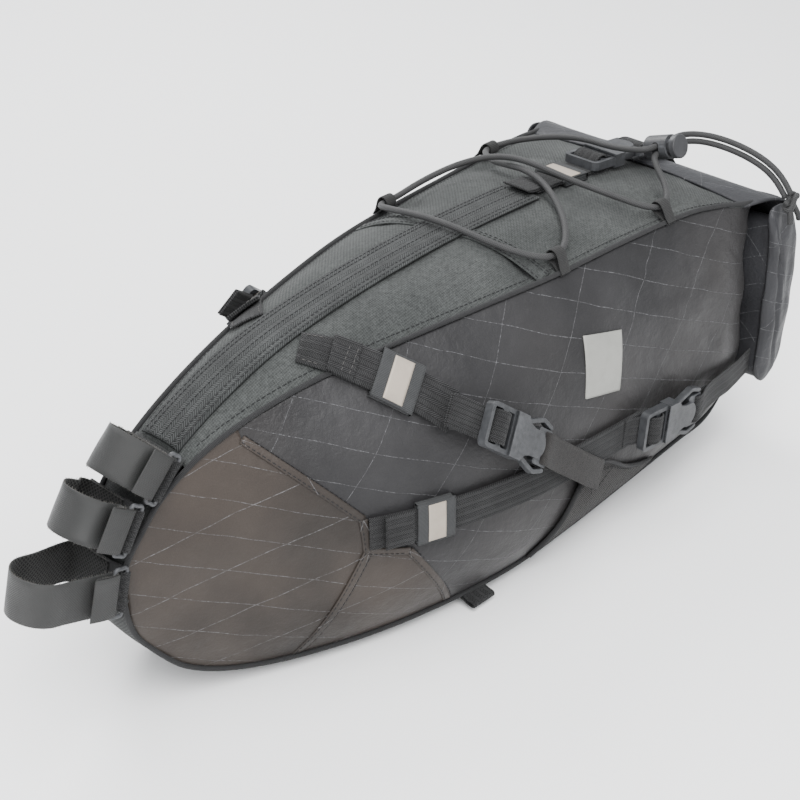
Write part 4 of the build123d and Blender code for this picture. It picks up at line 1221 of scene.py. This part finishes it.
# Gathered cloth that closes each end of the roll.
END_OUTLINE = [(278, 177), (293, 177.5), (305.5, 166), (310.6, 147), (310.4, 112), (309, 74), (303, 51),
               (292, 44.6), (283.6, 52), (281.4, 82), (281, 120), (280.4, 150)]
END_RINGS = 22
outline = smooth_curve(END_OUTLINE, 96, closed=True)
outline = np.vstack([outline, outline[:1]])
for side, word in SIDES:
    cap = np.zeros((END_RINGS, len(outline), 3))
    for r in range(END_RINGS):
        size = 1 - 0.97 * r / (END_RINGS - 1)
        for k, (px, pz) in enumerate(outline):
            spine = 295 + 0.06 * (pz - ROLL_MIDDLE_Z)
            cx, cz = spine + (px - spine) * size, ROLL_MIDDLE_Z + (pz - ROLL_MIDDLE_Z) * size
            bulge = 4.2 * (1 - size**3) + 1.5 * noise.noise(Vector((cx / 8, cz / 22, side)))
            crease = 2.6 * bell(cx, 291 + 3 * sin(cz / 34), 1.9) * (1 - size**4)
            cap[r, k] = (cx, side * (102.6 + 1.6 * min(1, 8 * (1 - size)) + bulge - crease), cz)
    inward = np.zeros_like(cap)
    inward[:, :, 1] = side
    roll_parts.append(slab("roll_end", cap, cap - inward * 1.4, cap[:, :, [0, 2]], ROLL_CLOTH))
dress(join("roll_cloth", roll_parts), "roll", "woven_cloth", "roll_top")

# Webbing tails from the closure plugs into the fold beside the roll, and from the top plug.
tail_path = at_buckle(CLOSE_BUCKLE, ((34, -4.4), (19, -3.4), (13.4, -2.2), (13.4, 2.4), (18.5, 3.3),
                                     (26, 0.6), (38, -3.4)))
tail_path += [(232, -106.4, 67.4), (252, -103.2, 65.4), (270, -98.6, 63.6), (286, -95.0, 62.0)]
for side, word in SIDES:
    centre, along, out = CLOSE_BUCKLE
    tail = strip(f"closure_tail_{word}", [flip(p, side) for p in tail_path], flip(out.cross(along), side),
                 LOOSE_WEB, WEB_THICK, STRAP_WEB, 130, 9, 0.3)
    dress(tail, "roll", "webbing", *once(side, "closure_tails"))
top_path = at_buckle(TOP_BUCKLE, ((30, -4.0), (19, -3.2), (13.4, -2.0), (13.4, 2.2), (18.5, 3.2), (28, 0.4),
                                  (38, -5.5)))
top_path += [(290, 0, 187.5), (301, 0, 177), (306, 0, 170)]
dress(strip("top_tail", top_path, (0, 1, 0), LOOSE_WEB, WEB_THICK, STRAP_WEB, 90, 9), "roll", "webbing")
ladder_webbing("top_ladder_web", TOP_BUCKLE, "top_socket", -1)

# ---- seatpost straps
POST_WEB = 25.0
TIP_RADIUS = 16.5
NEAR_Y, LOOP_CENTRE_Y = 22.5, 3.0


class PostLoop:
    """Where one seatpost strap stands on the nose and how far it reaches."""

    def __init__(self, name, x, z, tilt, reach):
        self.name = name
        self.base = Vector((x, 0, z))
        self.reach = reach
        self.out = Vector((-cos(radians(tilt)), 0, sin(radians(tilt))))
        self.up = Vector((sin(radians(tilt)), 0, cos(radians(tilt))))

    def at(self, out, y, up=0.0):
        """A point from distances out of the nose, to the left and up along the strap."""
        return self.base + self.out * out + Vector((0, -y, 0)) + self.up * up

    def tape(self, name, places, *sizes, **more):
        """A tape whose width stands upright on the nose, through (out, y) places."""
        return strip(name, [self.at(out, y) for out, y in places], self.up, *sizes, **more)


POST_LOOPS = [
    PostLoop("bottom", -200.5, 93, 15, 36.0),
    PostLoop("middle", -190.6, 127, 32, 13.0),
    PostLoop("top", -166.0, 147, 44, 10.0),
]
for loop in POST_LOOPS:
    path = [(0, 12), (0.2, 2), (0, -10), (1.5, -16.0), (6, -17.2)]
    for k in range(9):
        a = radians(-100 + 200 * k / 8)
        stretch = 1.0 if a < 0 else 1.08
        path.append((loop.reach + TIP_RADIUS * cos(a), LOOP_CENTRE_Y + TIP_RADIUS * sin(a) * stretch))
    path += [(9, NEAR_Y - 0.4), (5.4, NEAR_Y), (3.7, NEAR_Y + 1.8), (5.4, NEAR_Y + 3.5)]
    path += [(12, NEAR_Y + 3.4), (18, NEAR_Y + 3.0)]
    outer = loop.tape(f"post_satin_{loop.name}", path, POST_WEB, 0.8, SATIN, 200, 9, 0.5, lift=-0.3)
    dress(outer, "bag", "hook_and_loop", f"post_strap_{loop.name}")
    inner = loop.tape(f"post_knit_{loop.name}", path, POST_WEB - 0.6, 0.8, KNIT, 200, 9, 0.5, lift=0.3)
    dress(inner, "bag", "hook_and_loop")
    # Smooth hook tab on the strap's folded end.
    tab_line = [(4.2, NEAR_Y + 4.2), (8, NEAR_Y + 4.8), (14, NEAR_Y + 4.7), (20, NEAR_Y + 4.0)]
    dress(loop.tape(f"post_tab_{loop.name}", tab_line, POST_WEB, 0.9, SATIN, 40, 9), "bag", "hook_and_loop")
    # Short cut threads that stand out along both edges.
    line = smooth_curve([loop.at(out, y) for out, y in path], 260)
    vertices = []
    for i in range(4, 256):
        for edge in (-1, 1):
            if random.random() < 0.75:
                base = Vector(line[i]) + loop.up * edge * (POST_WEB / 2 - 0.3)
                tip = base + loop.up * edge * random.uniform(0.5, 1.1) + Vector(
                    [random.uniform(-0.5, 0.5) for _ in range(3)])
                middle = (base + tip) / 2 + Vector((0.1, 0.1, 0))
                for p, r in ((base, 0.13), (middle, 0.11), (tip, 0.04)):
                    for k in range(3):
                        a = 2 * pi * k / 3
                        vertices.append(p + Vector((r * cos(a), r * sin(a), 0.2 * r)))
    fringe = spindles(f"post_fringe_{loop.name}", vertices, 3, 3, [(0, 0)] * len(vertices), FRAYED)
    dress(fringe, "bag", "hook_and_loop")

# Rings: a rounded rectangle of moulded bar, one per strap, on the left of the nose. Each
# strap is sewn on with a webbing anchor at its ring and a pad across the nose.
RING_HALF = POST_WEB / 2 + 1.6
corners = [(5.5, RING_HALF), (5.5, -RING_HALF), (-2.5, -RING_HALF), (-2.5, RING_HALF), (5.5, RING_HALF)]
anchor_path = [(-1.2, NEAR_Y - 2.2), (-4.2, NEAR_Y + 1.6), (-2.6, NEAR_Y + 3.4), (-0.6, NEAR_Y + 1.4),
               (-3.8, NEAR_Y - 3.4), (-7.0, 14), (-7.6, 6)]
pad_path = [(-1.6, -17), (-1.4, -8), (-1.3, 4), (-1.6, 14), (-3.2, 19)]
rings, anchors = [], []
for loop in POST_LOOPS:
    ring_line = []
    for (o1, u1), (o2, u2) in zip(corners, corners[1:]):
        for s in (0.12, 0.5, 0.88):
            ring_line.append(loop.at(o1 + (o2 - o1) * s, NEAR_Y + 1.8, u1 + (u2 - u1) * s))
    ring_line.append(ring_line[0])
    curve = smooth_curve(ring_line, 90, closed=True)
    rings.append(tube("ring", np.vstack([curve, curve[:1]]), 1.15, LOCK_PLASTIC, closed=True))
    anchors.append(loop.tape("anchor", anchor_path, POST_WEB - 1.5, 1.0, STRAP_WEB, 70, 7))
    anchors.append(loop.tape("pad", pad_path, POST_WEB + 1.0, 1.6, EDGE_TAPE, 50, 7))
dress(join("strap_rings", rings), "bag", "buckle_plastic", "post_rings")
dress(join("strap_anchors", anchors), "bag", "webbing", "post_anchors")

# Webbing loop in the lower left seam.
hem_path = [(14, -79, 6), (14, -85, 4.4), (14, -89.5, 3.2), (14, -92.4, 3.8), (14, -92.2, 5.2),
            (14, -88, 6.2), (14, -83, 8.4)]
hem_loop = strip("hem_loop", [Vector(p) for p in hem_path], (1, 0, 0), 19, 1.3, STRAP_WEB, 50, 9)
dress(hem_loop, "bag", "webbing", "bottom_loop")

# ---- tape loops for the cord
# x, half width and height of the seam there, crown height, side.
CORD_LOOPS = [(105, 68, 184, 201, -1), (90, 67, 184, 201, 1), (200, 76, 187, 197, -1),
              (197, 76, 187, 197, 1)]
LOOP_PROFILE = [(-2.5, 0.8), (1.5, 1.6), (6, 3.0), (9.6, 3.2), (12.4, 4.6), (13.1, 7.0), (12.4, 9.4),
                (9.6, 10.9), (5.5, 9.4), (1.0, 4.6), (-2.8, 1.9)]
loops = []
for x, seam_y, seam_z, crown, side in CORD_LOOPS:
    slope = 0.75 * (crown - seam_z) / (0.4 * seam_y)
    inward = Vector((0, -side, slope)).normalized()
    up = Vector((0, side * slope, 1)).normalized()
    base = Vector((x, side * seam_y, seam_z))
    points = [base + inward * a + up * b for a, b in LOOP_PROFILE]
    loops.append(strip("tape", points, (1, 0, 0), 8.4, 0.9, LOOP_TAPE, 70, 5, 0.25))
dress(join("tape_loops", loops), "bag", "binding", "cord_loops")

# ---- emblem
# A plain slanted patch of reflective film on each side panel.
EMBLEM_X, EMBLEM_Z = 114, 129
EMBLEM_HIGH, EMBLEM_WIDE, EMBLEM_SLANT = 36, 34, 4
EMBLEM_LAYER = (-1.2, 0.35)
for side, word in SIDES:
    start, end = [(EMBLEM_X + turn * EMBLEM_SLANT, side * BESIDE, EMBLEM_Z + turn * EMBLEM_HIGH / 2)
                  for turn in (-1, 1)]
    patch = laid_strap(f"reflector_{word}", start, end, (0, side, 0), EMBLEM_WIDE, EMBLEM_LAYER, EMBLEM,
                       13, 1.5)
    dress(patch, "bag", "laminate_cloth")


# ---- moulded buckles and lock
def softened(node, body, material, width, name):
    """A copy of a CAD node with rounded edges, which stands for it."""
    mesh = frame["nodes"][node].data.copy()
    repair(mesh, 2e-6, radians(2.5))
    mesh.name = name
    piece = new_object(name, mesh)
    mesh.materials.clear()
    mesh.materials.append(material)
    mesh.polygons.foreach_set("use_smooth", [True] * len(mesh.polygons))
    soften = piece.modifiers.new("edges", "BEVEL")
    soften.width = width * MM
    soften.segments = 3
    soften.limit_method = "ANGLE"
    soften.angle_limit = radians(35)
    soften.use_clamp_overlap = True
    weigh = piece.modifiers.new("shade", "WEIGHTED_NORMAL")
    weigh.keep_sharp = False
    dress(piece, body, "buckle_plastic", node)


for body, nodes in frame["record"]["behaviour"]["bodies"].items():
    for node in nodes:
        if any(word in node for word in ("socket", "plug", "arm_")):
            softened(node, body, PLASTIC, 0.55, node.replace("top_", "tail_") + "_moulding")
softened("cord_lock", "cord_lock", LOCK_PLASTIC, 0.4, "lock_barrel")
softened("lock_button", "lock_button", LOCK_PLASTIC, 0.35, "lock_press")
for node, material in (("lock_spring", STEEL), ("frame_sheet", INSIDE_SHEET)):
    keep = frame["nodes"][node]
    keep.data.materials.clear()
    keep.data.materials.append(material)

# ---- floor
bpy.ops.mesh.primitive_plane_add(size=12, location=(0, 0, -0.0005))
floor = bpy.context.object
floor.name = "floor"
paper = Shader("floor_paper", rough=0.9, specular=0.1)
shade = paper.mix(paper.noise(3, 2), (0.86, 0.86, 0.86), (0.88, 0.88, 0.88))
floor.data.materials.append(paper.finish(shade))
floor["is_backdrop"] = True

low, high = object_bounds()
